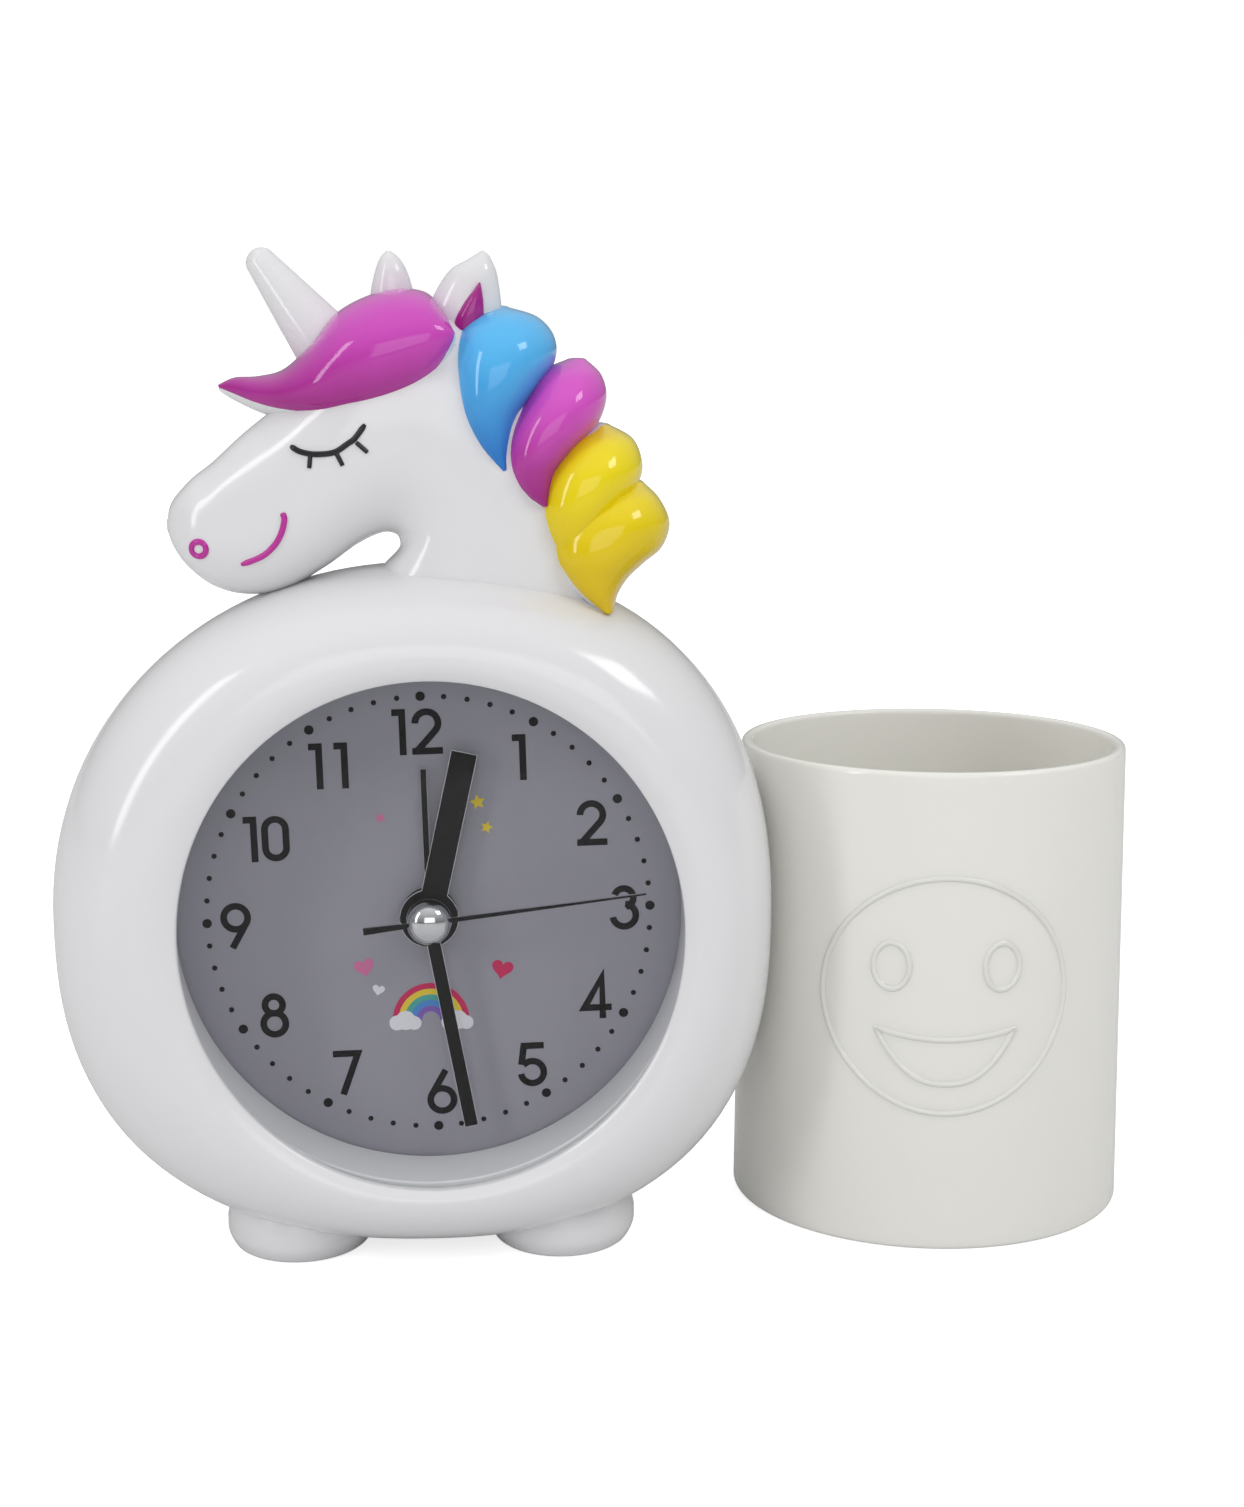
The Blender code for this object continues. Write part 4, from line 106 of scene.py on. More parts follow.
# Back. The lid's box holds its catch and hinge too, so its plate is less by LID_LESS.
LID_LESS = Vector((1.6, 1.2)) * MM
LID_PLAY = 0.3 * MM
LID_TAB = 1.2 * MM
LID_TAB_WIDTH = 10.0 * MM
LID_RIDGE = (12 * MM, 0.6 * MM)
LID_RIDGE_DROPS_MM = (2.6, 4.0, 5.4)
PLATE_ROUNDING = 0.2 * MM
SOUND_HOLE = 0.9 * MM
SOUND_CIRCLE = 3.2 * MM
KNOB_HOLE = 3.3 * MM
FLUTES = 30
FLUTE_DEPTH = 0.2 * MM
KNOB_POINTER = (1.0 * MM, 4.6 * MM)
SWITCH_SLOT = (8.2 * MM, 2.6 * MM)
SWITCH_PAD = (5.0 * MM, 4.0 * MM)
SWITCH_RIB = (0.5 * MM, 3.0 * MM)
SWITCH_RIBS_MM = (-1.4, -0.5, 0.4, 1.3)
SWITCH_TRAVEL = 5.0 * MM
CELL_NUB = 1.3 * MM
CELL_NUB_RADIUS = 2.7 * MM
CELL_BAND = 11.0 * MM

# Feet, whose middles lie these millimetres to the side of the dial axis, and the cup's face
FOOT_RADIUS = 12.1 * MM
FOOT_HEIGHT = 13.5 * MM
FOOT_STRETCH = 1.12
LEFT_FOOT_MM = -21.7
RIGHT_FOOT_MM = 21.0
EYE_ASIDE = 8.8 * MM
EYE_UP = 4.8 * MM
EYE_HALF = (2.8 * MM, 3.8 * MM)
MOUTH_DOWN = 5.6 * MM
MOUTH_HALF = 11.1 * MM

# Head: the most that an end's dome is wide, a lock's bed as a share of the
# lock's thickness, how deep the face's lines lie, and the horn's two ends
DOME_WIDTH = 2 * MM
BED_DEPTH = 0.93
LINE_SUNK = 0.05 * MM
HORN_BASE_MM = (-14.0, 89.0)
HORN_TIP_MM = (-24.5, 102.6)

# Dial: its dots, its rainbow and its clouds
HOUR_DOT = 0.76 * MM
MINUTE_DOT = 0.43 * MM
RAINBOW_UP = -17.6 * MM
RAINBOW_MM = 6.2
BAND_MM = 0.95
CLOUD_ASIDE = 4.2 * MM
CLOUD_UP = -17.9 * MM
PUFFS_MM = ((1.25, -1.3, -0.1), (1.6, 0.1, 0.3), (1.15, 1.5, -0.15))

# Films and hands. A stroke's points are one within STROKE_CLOSED, and its
# corners stand out by no more than 1 / MITRE of its half width.
STROKE_CLOSED = 0.02
STROKE_POINT = 0.001
MITRE = 0.35
HUB_RADIUS = 3.5 * MM
HUB_HEIGHT = 2.4 * MM
INK_FILM = 0.04 * MM
ENAMEL_FILM = 0.06 * MM
HAND_THICK = 0.5 * MM
SECOND_HAND_MM = 5.3

# The camera as fitted to the photograph, its focal length in the photograph's pixels
CAMERA_PLACE = (-0.02042, -0.39583, 0.14932)
CAMERA_TURN = radians(-3.37)
CAMERA_DIP = radians(10.29)
FOCAL_PIXELS = 2400
PHOTO_HEIGHT = 1507
SENSOR_MM = 36.0
LAMP_AIM = (-0.01, -0.02, 0.06)

# Steps round each kind of form
AROUND_BODY = 144
AROUND_DIAL = 128
AROUND_CUP = 128
AROUND_LOCK = 40
AROUND_WELL = 48
AROUND_FACE = 96
RIB_STEPS = 7

# Fullness of the body's four corners and of its two profiles
UPPER_LEFT_SHARE = 2.10
UPPER_RIGHT_SHARE = 2.30
LOWER_LEFT_SHARE = 2.45
LOWER_RIGHT_SHARE = 2.50
FRONT_SHARE = 2.2
BACK_SHARE = 2.0

# How far in from the body's outline each profile's crest lies, towards the opening
FRONT_CREST = 0.80
BACK_CREST = 0.85

# Fullness of the ribs across the head, its locks and its ears
HEAD_SHARE = 2.5
LOCK_SHARE = 2.3
EAR_SHARE = 2.0

# Outlines of the head and its locks. Each group is one rib across a form: its
# upper or left end and its lower or right end, in thousandths of the head's
# length and height, and its thickness in hundredths of the head's thickness.
HEAD_RIBS = (
    (0, 247, 1, 200, 21), (10, 295, 15, 153, 45), (48, 356, 42, 102, 66), (92, 405, 89, 51, 77),
    (153, 484, 150, 27, 83), (223, 564, 229, 40, 90), (293, 655, 312, 105, 95), (382, 773, 376, 169, 99),
    (484, 840, 423, 200, 100), (599, 818, 450, 198, 99), (701, 691, 460, 178, 98), (790, 509, 455, 149, 96),
    (854, 291, 423, 102, 94), (887, 73, 387, 36, 94), (892, -73, 382, -73, 94),
)
FORELOCK_RIBS = (
    (106, 620, 107, 611, 6), (138, 640, 135, 585, 21), (185, 644, 189, 549, 45), (236, 664, 247, 527, 75),
    (289, 731, 316, 513, 101), (341, 818, 387, 520, 115), (403, 867, 448, 542, 122), (466, 887, 502, 578, 122),
    (517, 878, 543, 629, 118), (546, 840, 566, 684, 112), (563, 806, 576, 724, 105), (572, 778, 578, 756, 98),
)
BLUE_LOCK_RIBS = (
    (645, 835, 683, 835, 32), (599, 807, 739, 809, 75), (568, 760, 772, 756, 102), (553, 695, 775, 691, 115),
    (555, 611, 746, 615, 118), (572, 524, 711, 538, 114), (606, 444, 696, 462, 106), (655, 382, 685, 393, 96),
)
PINK_LOCK_RIBS = (
    (797, 689, 836, 689, 40), (732, 647, 866, 647, 83), (694, 573, 876, 582, 107), (660, 491, 857, 505, 115),
    (655, 418, 815, 436, 114), (670, 353, 785, 382, 107), (703, 304, 772, 327, 101), (738, 280, 763, 295, 93),
)
YELLOW_UPPER_RIBS = (
    (848, 504, 884, 504, 40), (785, 465, 930, 465, 83), (746, 404, 948, 396, 106), (724, 335, 938, 335, 112),
    (721, 269, 904, 262, 110), (739, 200, 866, 196, 102), (764, 153, 836, 153, 93),
)
YELLOW_LOWER_RIBS = (
    (915, 353, 953, 338, 40), (851, 335, 983, 295, 83), (787, 284, 1003, 229, 106), (744, 218, 989, 160, 112),
    (744, 153, 953, 116, 112), (767, 95, 920, 73, 107), (805, 36, 899, 29, 102), (856, -18, 890, -11, 94),
)
NEAR_EAR_RIBS = (
    (512, 791, 673, 745, 30), (534, 865, 669, 818, 29), (566, 935, 664, 884, 24), (602, 966, 658, 934, 18),
    (630, 990, 646, 973, 8),
)
FAR_EAR_RIBS = (
    (403, 791, 499, 809, 22), (408, 876, 492, 884, 21), (418, 938, 479, 942, 18), (428, 973, 464, 975, 12),
    (439, 991, 450, 991, 5),
)
EAR_LINING_RIBS = (
    (571, 767, 632, 789, 10), (578, 807, 633, 822, 12), (596, 851, 632, 858, 11), (615, 885, 629, 887, 8),
    (623, 902, 627, 902, 4),
)
FOOT_SHARES = ((0.0, 1.0), (0.30, 0.99), (0.58, 0.93), (0.80, 0.80), (0.93, 0.60), (1.00, 0.34))

# Strokes of the numerals, as shares of their height: a bent line is a list of
# points, and an arc is its centre, its radius and its two ends in degrees
DIGIT_SHARES = {
    "0": ([(-0.225, 0.30), (-0.225, 0.70), ("arc", 0.0, 0.70, 0.225, 180, 0), (0.225, 0.30),
           ("arc", 0.0, 0.30, 0.225, 0, -180)],),
    "1": ([(0.0, 1.0), (0.0, 0.0)], [(-0.22, 0.93), (0.06, 0.93)]),
    "2": ([("arc", 0.0, 0.68, 0.247, 180, -42), (-0.20, 0.10)], [(-0.327, 0.073), (0.33, 0.073)]),
    "3": ([("arc", 0.0, 0.715, 0.208, 160, -78)], [("arc", 0.0, 0.325, 0.252, 84, -172)]),
    "4": ([(0.13, 0.0), (0.13, 0.93), (-0.27, 0.25), (0.33, 0.25)],),
    "5": ([(0.27, 0.93), (-0.17, 0.93), (-0.235, 0.50)], [("arc", 0.0, 0.325, 0.252, 140, -172)]),
    "6": ([("arc", 0.0, 0.327, 0.257, 0, 360)], [(-0.222, 0.455), (0.10, 1.0)]),
    "7": ([(-0.32, 0.93), (0.225, 0.93), (-0.13, 0.0)],),
    "8": ([("arc", 0.0, 0.735, 0.190, 0, 360)], [("arc", 0.0, 0.312, 0.240, 0, 360)]),
    "9": ([("arc", 0.0, 0.673, 0.257, 0, 360)], [(0.222, 0.545), (-0.10, 0.0)]),
}

# Lines moulded and painted on the head, in millimetres from the dial's centre
EYELID_MM = ((-19.9, 75.1), (-18.5, 74.3), (-16.2, 73.9), (-13.3, 74.2), (-11.2, 75.5), (-10.1, 76.3), (-8.5, 78.4))
LASHES_MM = (
    ((-16.9, 73.9), (-17.1, 71.8)),
    ((-13.0, 74.2), (-12.0, 72.2)),
    ((-9.9, 75.7), (-8.2, 74.2)),
)
SMILE_MM = ((-21.4, 65.0), (-21.1, 63.9), (-21.7, 61.7), (-22.9, 59.8), (-24.8, 58.2), (-28.0, 56.9))
NOSTRIL_MM = (-34.5, 59.3)

# Middles of the numerals 1 to 12, in millimetres from the dial's centre, and
# the middles of each one's digits as shares of the numerals' height
NUMERALS_MM = ((14.7, 25.5), (26.1, 14.7), (31.3, 0.7), (26.8, -14.1), (16.3, -25.4), (1.6, -29.8),
               (-13.5, -26.2), (-25.2, -16.4), (-30.9, -1.4), (-25.9, 12.7), (-15.6, 24.4), (-1.5, 29.8))
DIGIT_PLACES_SHARES = {hour: (0.0,) for hour in range(2, 10)}
DIGIT_PLACES_SHARES.update({1: (0.06,), 10: (-0.24, 0.22), 11: (-0.20, 0.34), 12: (-0.32, 0.20)})


# Settings
def srgb(code):
    """A hex colour as linear values."""
    parts = [int(code[i:i + 2], 16) / 255 for i in (0, 2, 4)]
    return tuple(p / 12.92 if p <= 0.04045 else ((p + 0.055) / 1.055) ** 2.4 for p in parts) + (1.0,)


def colour(name, description, code):
    return FloatVectorProperty(name=name, description=description, subtype="COLOR", min=0.0, max=1.0,
                               default=srgb(code)[:3])


def length(name, description, metres):
    return FloatProperty(name=name, description=description, default=metres, unit="LENGTH")


class BodySizes(bpy.types.PropertyGroup):
    left: length("Left", "From the dial axis to the left edge", 0.0600)
    right: length("Right", "From the dial axis to the right edge", 0.0554)
    top: length("Top", "From the dial axis to the top edge", 0.0562)
    bottom: length("Bottom", "From the dial axis to the lower edge", 0.0534)
    wall: length("Wall", "Thickness of the two shells", 0.0022)
    parting: length("Parting", "Depth of the seam behind the dial", 0.0050)
    front: length("Front", "Crest of the front shell", 0.0168)
    opening: length("Opening", "Radius of the front opening", 0.0401)
    opening_depth: length("Opening depth", "Height of the opening's edge above the dial", 0.0156)
    seat: length("Seat", "Radius of the lens seat", 0.0426)
    lip: length("Lip", "Thickness of the lip over the lens", 0.0012)
    back: length("Back", "Crest of the rear shell", 0.0290)
    back_edge: length("Back edge", "Depth of the rear recess's edge", 0.0278)
    back_opening: length("Back opening", "Radius of the rear recess", 0.0400)
    ledge: length("Ledge", "Radius of the cover's ledge", 0.0386)
    cover_depth: length("Cover depth", "Depth of the back cover's front face", 0.0185)


class HeadSizes(bpy.types.PropertyGroup):
    left: length("Left", "From the dial axis to the muzzle", 0.0400)
    length: length("Length", "Muzzle to the mane's edge", 0.0785)
    base: length("Base", "Height of the neck over the dial axis", 0.0500)
    height: length("Height", "Neck to the ear tips", 0.0550)
    thickness: length("Thickness", "Cheek to cheek", 0.0250)
    horn_base: length("Horn base", "Radius of the horn's base", 0.0054)
    horn_tip: length("Horn tip", "Radius of the horn's tip", 0.0024)
    line: length("Line", "Width of the face's painted lines", 0.0009)


class DialSizes(bpy.types.PropertyGroup):
    radius: length("Radius", "Edge of the dial card", 0.0423)
    bore: length("Ring bore", "Inside of the spacer ring", 0.0405)
    hole: length("Hole", "Radius of the dial's hole", 0.0045)
    thickness: length("Thickness", "Thickness of the card", 0.0008)
    lens: length("Lens", "Thickness of the lens", 0.0012)
    tilt: FloatProperty(name="Tilt", description="Turn of the dial", default=radians(1.6), unit="ROTATION")
    dots: length("Dots", "Radius of the circle of dots", 0.0355)
    numerals: length("Numerals", "Height of the numerals", 0.0074)
    stroke: length("Stroke", "Width of the numerals' strokes", 0.00108)


class CupSizes(bpy.types.PropertyGroup):
    height: length("Height", "Floor to rim", 0.0788)
    rim: length("Rim", "Radius at the rim", 0.0324)
    base: length("Base", "Radius at the base", 0.0332)
    wall: length("Wall", "Thickness of the wall", 0.0019)
    floor: length("Floor", "Thickness of the floor", 0.0024)
    face_height: length("Face", "Height of the raised face", 0.0425)
    face_radius: length("Face radius", "Radius of the raised ring", 0.0194)
    face_turn: FloatProperty(
        name="Face turn", description="Turn of the face towards the clock", default=radians(5), unit="ROTATION")
    ridge: length("Ridge", "Radius of the raised line", 0.00055)


class Colours(bpy.types.PropertyGroup):
    body: colour("Body", "White of the shells", "E6E6E8")
    cup: colour("Cup", "Milky white of the cup", "EDECE6")
    # Each lock's paler tone is its lacquer with painted light from above, and its deeper tone is the same lacquer with
    # painted shade below. The ear lining shades to the forelock's deeper tone.
    forelock: colour("Forelock", "Paler lacquer of the forelock", "D04ABF")
    forelock_low: colour("Forelock, low", "Deeper lacquer of the forelock", "A01A80")
    blue: colour("Blue lock", "Paler lacquer of the blue lock", "58BCF6")
    blue_low: colour("Blue lock, low", "Deeper lacquer of the blue lock", "1E79CE")
    pink: colour("Pink lock", "Paler lacquer of the pink lock", "DA55C8")
    pink_low: colour("Pink lock, low", "Deeper lacquer of the pink lock", "A31F85")
    yellow: colour("Yellow lock", "Paler lacquer of the yellow lock", "F4DF12")
    yellow_low: colour("Yellow lock, low", "Deeper lacquer of the yellow lock", "E0BE00")
    lining: colour("Ear lining", "Lacquer inside the near ear", "A82C8C")
    lines: colour("Face lines", "Paint of the smile and nostrils", "BE2A9C")
    card: colour("Dial card", "Ground colour of the dial", "918F9A")
    ink: colour("Numerals", "Ink of the numerals and dots", "0B0A0E")
    hands: colour("Hands", "Enamel of the hands", "0A090B")


class StageSettings(bpy.types.PropertyGroup):
    key: FloatProperty(name="Key", description="Power of the right softbox in watts", default=1.0)
    left: FloatProperty(name="Left", description="Power of the left strip light in watts", default=0.9)
    front: FloatProperty(name="Front", description="Power of the low front light in watts", default=0.85)
    zenith: FloatProperty(name="Zenith", description="Strength of the room's light from above", default=0.93)
    horizon: FloatProperty(name="Horizon", description="Strength of the room's light from the sides", default=0.18)


# Materials
WHITE = (1.0, 1.0, 1.0, 1.0)
SMOOTHEST = 0.02
HANDLING_MM = 18
PAPER_LIFT = 0.72


def add(material, kind, settings=None, **inputs):
    """Adds a node, sets its properties and sets or links its inputs."""
    node = material.node_tree.nodes.new(kind)
    for name, value in (settings or {}).items():
        setattr(node, name, value)
    for name, value in inputs.items():
        socket = node.inputs[int(name[1:]) if name[0] == "i" and name[1:].isdigit() else name.replace("_", " ")]
        if isinstance(value, bpy.types.NodeSocket):
            material.node_tree.links.new(value, socket)
        else:
            socket.default_value = value
    return node


def tint(word):
    """A colour from the settings by its name, or from a hex code."""
    settings = bpy.context.scene.clock_colours
    return (*getattr(settings, word), 1.0) if hasattr(settings, word) else srgb(word)


def blank_material(name):
    """A material with only its output and a Principled shader."""
    material = bpy.data.materials.new(name)
    material.use_nodes = True
    return material, material.node_tree.nodes["Principled BSDF"]


def link(material, output, shader, socket):
    material.node_tree.links.new(output, shader.inputs[socket])


def fixed(shader, **values):
    """Sets constants on a shader's sockets."""
    for socket, value in values.items():
        shader.inputs[socket.replace("_", " ")].default_value = value


def object_place(material):
    return add(material, "ShaderNodeTexCoord").outputs["Object"]


def noise(material, place, grain_mm, **values):
    """Noise whose lumps are about grain_mm wide."""
    return add(material, "ShaderNodeTexNoise", Vector=place, Scale=1 / (grain_mm * MM), **values).outputs["Fac"]


def computed(material, operation, **values):
    return add(material, "ShaderNodeMath", {"operation": operation}, **values).outputs[0]


def ranged(material, value, low, high):
    """A value from 0 to 1 spread between low and high."""
    return add(material, "ShaderNodeMapRange", Value=value, To_Min=low, To_Max=high).outputs["Result"]


def wandering(material, shader, value, roughness, variation=0.06):
    """A roughness that wanders with a value, and never falls to a mirror's."""
    rough = ranged(material, value, max(roughness - variation, SMOOTHEST), roughness + variation)
    link(material, rough, shader, "Roughness")


def bumped(material, shader, height, strength, depth_mm=0.05):
    """Bends the shader's normal with a height."""
    bump = add(material, "ShaderNodeBump", Height=height, Strength=strength, Distance=depth_mm * MM)
    link(material, bump.outputs["Normal"], shader, "Normal")


def moulded(name, word, roughness, grain_mm, depth, variation=0.06, **values):
    """Moulded plastic: a faint orange peel, and a roughness that wanders with handling."""
    material, shader = blank_material(name)
    place = object_place(material)
    bumped(material, shader, noise(material, place, grain_mm, Detail=2.0), depth)
    wandering(material, shader, noise(material, place, HANDLING_MM, Detail=3.0), roughness, variation)
    fixed(shader, Base_Color=tint(word), **values)
    return material


def white_abs():
    """Injection-moulded ABS, polished tool: bright, with soft edges to its highlights."""
    return moulded("glossy_white_abs", "body", 0.15, 1.6, 0.12, IOR=1.53,
                   Subsurface_Weight=0.12, Subsurface_Scale=2 * MM, Subsurface_Radius=(1.0, 0.9, 0.85))


def horn_white():
    """The same ABS where it is thin enough for light to glow through it."""
    return moulded("translucent_white_abs", "body", 0.17, 1.6, 0.12, IOR=1.53,
                   Subsurface_Weight=0.3, Subsurface_Scale=3 * MM, Subsurface_Radius=(1.0, 0.96, 0.95))


def milk_polypropylene():
    """Moulded polypropylene from a polished tool: glossy, slightly warm, light sinks in before it returns."""
    return moulded("glossy_milk_polypropylene", "cup", 0.13, 2.4, 0.10, 0.03, IOR=1.49,
                   Subsurface_Weight=0.25, Subsurface_Scale=3 * MM, Subsurface_Radius=(1.0, 0.95, 0.85))


def lacquer(name, lit_tint, shaded_tint, low_mm, high_mm):
    """Gloss lacquer sprayed over ABS with one clear shine, and painted light and shade: a paler tone high up for light
    from above, a deeper tone below for painted shade.
    """
    material, shader = blank_material(name)
    place = object_place(material)
    # Painted light and shade: the tone follows the piece's height, the lit tint high up and the shaded tint below
    height = add(material, "ShaderNodeSeparateXYZ", Vector=place).outputs["Y"]
    drift = computed(material, "MULTIPLY_ADD", i0=noise(material, place, 9, Detail=2.0), i1=5 * MM, i2=height)
    share = add(material, "ShaderNodeMapRange", {"interpolation_type": "SMOOTHSTEP"}, Value=drift,
                From_Min=low_mm * MM, From_Max=high_mm * MM)
    # Mix from the shaded tint low down to the lit tint high up: painted shade below, painted light above
    coat = add(material, "ShaderNodeMix", {"data_type": "RGBA"}, Factor=share.outputs["Result"],
               i6=tint(shaded_tint), i7=tint(lit_tint))
    link(material, coat.outputs[2], shader, "Base Color")
    bumped(material, shader, noise(material, place, 2.2, Detail=1.0), 0.08)
    fixed(shader, Roughness=0.09, IOR=1.47)
    return material


def clear_polystyrene():
    """Polished clear polystyrene: only the reflections of its outer faces show."""
    material, shader = blank_material("clear_polystyrene")
    face = add(material, "ShaderNodeNewGeometry").outputs["Backfacing"]
    shine = add(material, "ShaderNodeFresnel", IOR=1.33).outputs["Fac"]
    weight = computed(material, "MULTIPLY", i0=shine, i1=computed(material, "SUBTRACT", i0=1.0, i1=face))
    clear = add(material, "ShaderNodeBsdfTransparent", Color=(0.985, 0.99, 0.99, 1.0))
    gloss = add(material, "ShaderNodeBsdfGlossy", Roughness=0.03, Color=WHITE)
    mixed = add(material, "ShaderNodeMixShader", i0=weight, i1=clear.outputs[0], i2=gloss.outputs[0])
    material.node_tree.nodes.remove(shader)
    link(material, mixed.outputs[0], material.node_tree.nodes["Material Output"], "Surface")
    return material


def dial_card():
    """Offset-printed card, a flat lilac grey with paper fibre in it."""
    material, shader = blank_material("printed_dial_card")
    fibre = noise(material, object_place(material), 0.5, Detail=6.0, Roughness=0.7)
    tone = ranged(material, fibre, 0.94, 1.06)
    card = add(material, "ShaderNodeHueSaturation", Value=tone, Color=tint("card"))
    link(material, card.outputs["Color"], shader, "Base Color")
    bumped(material, shader, fibre, 0.15, 0.03)
    fixed(shader, Roughness=0.55)
    return material


def printing_ink(name, word):
    """Screen-printing ink, a film a few hundredths thick with a dull surface."""
    return moulded(name, word, 0.45, 0.4, 0.10, Specular_IOR_Level=0.12)


def line_paint(name, word):
    """Gloss paint laid in a thin raised line."""
    return moulded(name, word, 0.20, 1.0, 0.1)


def black_enamel():
    """Stoved enamel on thin aluminium: an even satin black."""
    return moulded("black_stoved_enamel", "hands", 0.40, 2.0, 0.05, Specular_IOR_Level=0.15)


def cell_film(name, word):
    """Film shrunk on an AA cell: smooth and a little glossy."""
    return moulded(name, word, 0.30, 1.2, 0.15)


def black_abs():
    """ABS from a spark-eroded tool: a fine matt grain."""
    return moulded("textured_black_abs", "1C1C1E", 0.42, 0.7, 0.5, IOR=1.53)


def acetal():
    """Unpainted acetal, the milky slippery plastic of small gears."""
    return moulded("natural_acetal", "E9E5D8", 0.35, 0.9, 0.15, IOR=1.48,
                   Subsurface_Weight=0.3, Subsurface_Scale=2 * MM)


def board_resin():
    """Green solder mask over a circuit board: a satin film."""
    return moulded("green_solder_mask", "1E6B35", 0.35, 0.8, 0.2)


def metal(name, code, roughness, grain_mm, stretch=(1.0, 1.0, 1.0)):
    """Bare metal with fine scratches whose spacing is grain_mm."""
    material, shader = blank_material(name)
    mapped = add(material, "ShaderNodeMapping", Vector=object_place(material), Scale=stretch)
    scratch = noise(material, mapped.outputs["Vector"], grain_mm, Detail=3.0)
    bumped(material, shader, scratch, 0.15, 0.02)
    wandering(material, shader, scratch, roughness)
    fixed(shader, Base_Color=srgb(code), Metallic=1.0)
    return material


def seen_rays(material):
    """1 for the rays that the camera sees directly or through the lens, and 0 for the others."""
    path = add(material, "ShaderNodeLightPath")
    return computed(material, "MAXIMUM", i0=path.outputs["Is Camera Ray"], i1=path.outputs["Is Transmission Ray"])


def stage_paper():
    """Seamless paper under the clock, lifted to white for the camera but keeping its shadows."""
    material, shader = blank_material("white_seamless_paper")
    lift = computed(material, "MULTIPLY", i0=seen_rays(material), i1=PAPER_LIFT)
    link(material, lift, shader, "Emission Strength")
    fixed(shader, Base_Color=srgb("DEDEDE"), Roughness=0.6, Emission_Color=WHITE)
    return material


# Each finish, with the function that makes its material and what that is told
FINISHES = {
    "white_abs": (white_abs,),
    "horn_white": (horn_white,),
    "milk_polypropylene": (milk_polypropylene,),
    # Each lacquer turns from its shaded tone below to its lit tone above between these two heights in millimetres:
    # painted shade and painted light
    "magenta_lacquer": (lacquer, "magenta_gloss_lacquer", "forelock", "forelock_low", 79, 98),
    "lining_lacquer": (lacquer, "ear_gloss_lacquer", "lining", "forelock_low", 86, 102),
    "pink_lacquer": (lacquer, "pink_gloss_lacquer", "pink", "pink_low", 68, 86),
    "blue_lacquer": (lacquer, "sky_blue_gloss_lacquer", "blue", "blue_low", 74, 94),
    "yellow_lacquer": (lacquer, "yellow_gloss_lacquer", "yellow", "yellow_low", 52, 76),
    "clear_polystyrene": (clear_polystyrene,),
    "dial_card": (dial_card,),
    "black_ink": (printing_ink, "black_printing_ink", "ink"),
    "rose_ink": (printing_ink, "rose_printing_ink", "C9709C"),
    "red_ink": (printing_ink, "red_printing_ink", "C22D5C"),
    "yellow_ink": (printing_ink, "yellow_printing_ink", "DEC33C"),
    "green_ink": (printing_ink, "green_printing_ink", "4FA39A"),
    "blue_ink": (printing_ink, "blue_printing_ink", "4C86C9"),
    "violet_ink": (printing_ink, "violet_printing_ink", "7C5DB0"),
    "white_ink": (printing_ink, "white_printing_ink", "DAD9E0"),
    "magenta_paint": (line_paint, "magenta_line_paint", "lines"),
    "black_paint": (line_paint, "black_line_paint", "101013"),
    "black_enamel": (black_enamel,),
    "cut_aluminium": (metal, "bright_cut_aluminium", "D6D7DA", 0.20, 0.3),
    "chrome": (metal, "nickel_chrome_plate", "CFCFD2", 0.09, 0.6),
    "zinc_steel": (metal, "zinc_plated_steel", "B9BBBE", 0.30, 0.25),
    "brass": (metal, "rolled_brass", "C9A24B", 0.34, 0.25, (1.0, 8.0, 1.0)),
    "copper_wire": (metal, "enamelled_copper_wire", "B4602F", 0.30, 0.2, (12.0, 1.0, 1.0)),
    "black_abs": (black_abs,),
    "acetal": (acetal,),
    "board_resin": (board_resin,),
    "cell_sleeve": (cell_film, "shrunk_cell_sleeve", "2C3440"),
    "cell_band": (cell_film, "copper_coloured_cell_sleeve", "B0703A"),
    "stage_paper": (stage_paper,),
}
MADE = {}


def finish(name):
    """The material of that name, made the first time it is asked for."""
    if name not in MADE:
        make, *told = FINISHES[name]
        MADE[name] = make(*told)
    return MADE[name]


def dress(node, finish_name):
    """Gives a CAD node a finish."""
    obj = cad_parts[node]
    if not obj.material_slots:
        obj.data.materials.append(None)
    for place in obj.material_slots:
        place.material = finish(finish_name)


# Keeping pieces
def placed(name, data, place):
    """An object in the scene at its place."""
    obj = bpy.data.objects.new(name, data)
    bpy.context.scene.collection.objects.link(obj)
    obj.matrix_world = place
    return obj


def smoothened(mesh):
    """The mesh with smooth shading, but for the edges that turn by more than SHARP."""
    mesh.shade_smooth()
    mesh.set_sharp_from_angle(angle=SHARP)
    return mesh


def keep(name, mesh, place, finish_name, body="clock", nodes=()):
    """Puts a piece in the scene, with its finish, on the body that carries it."""
    obj = placed(name, smoothened(mesh), place)
    mesh.materials.clear()
    mesh.materials.append(finish(finish_name))
    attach(obj, body)
    if nodes:
        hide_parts(*nodes)
    for node in nodes:
        dress(node, finish_name)
    return obj


def keep_white(name, mesh, place, *nodes, body="clock"):
    """Keeps a piece of the shells' white plastic."""
    return keep(name, mesh, place, "white_abs", body, nodes)


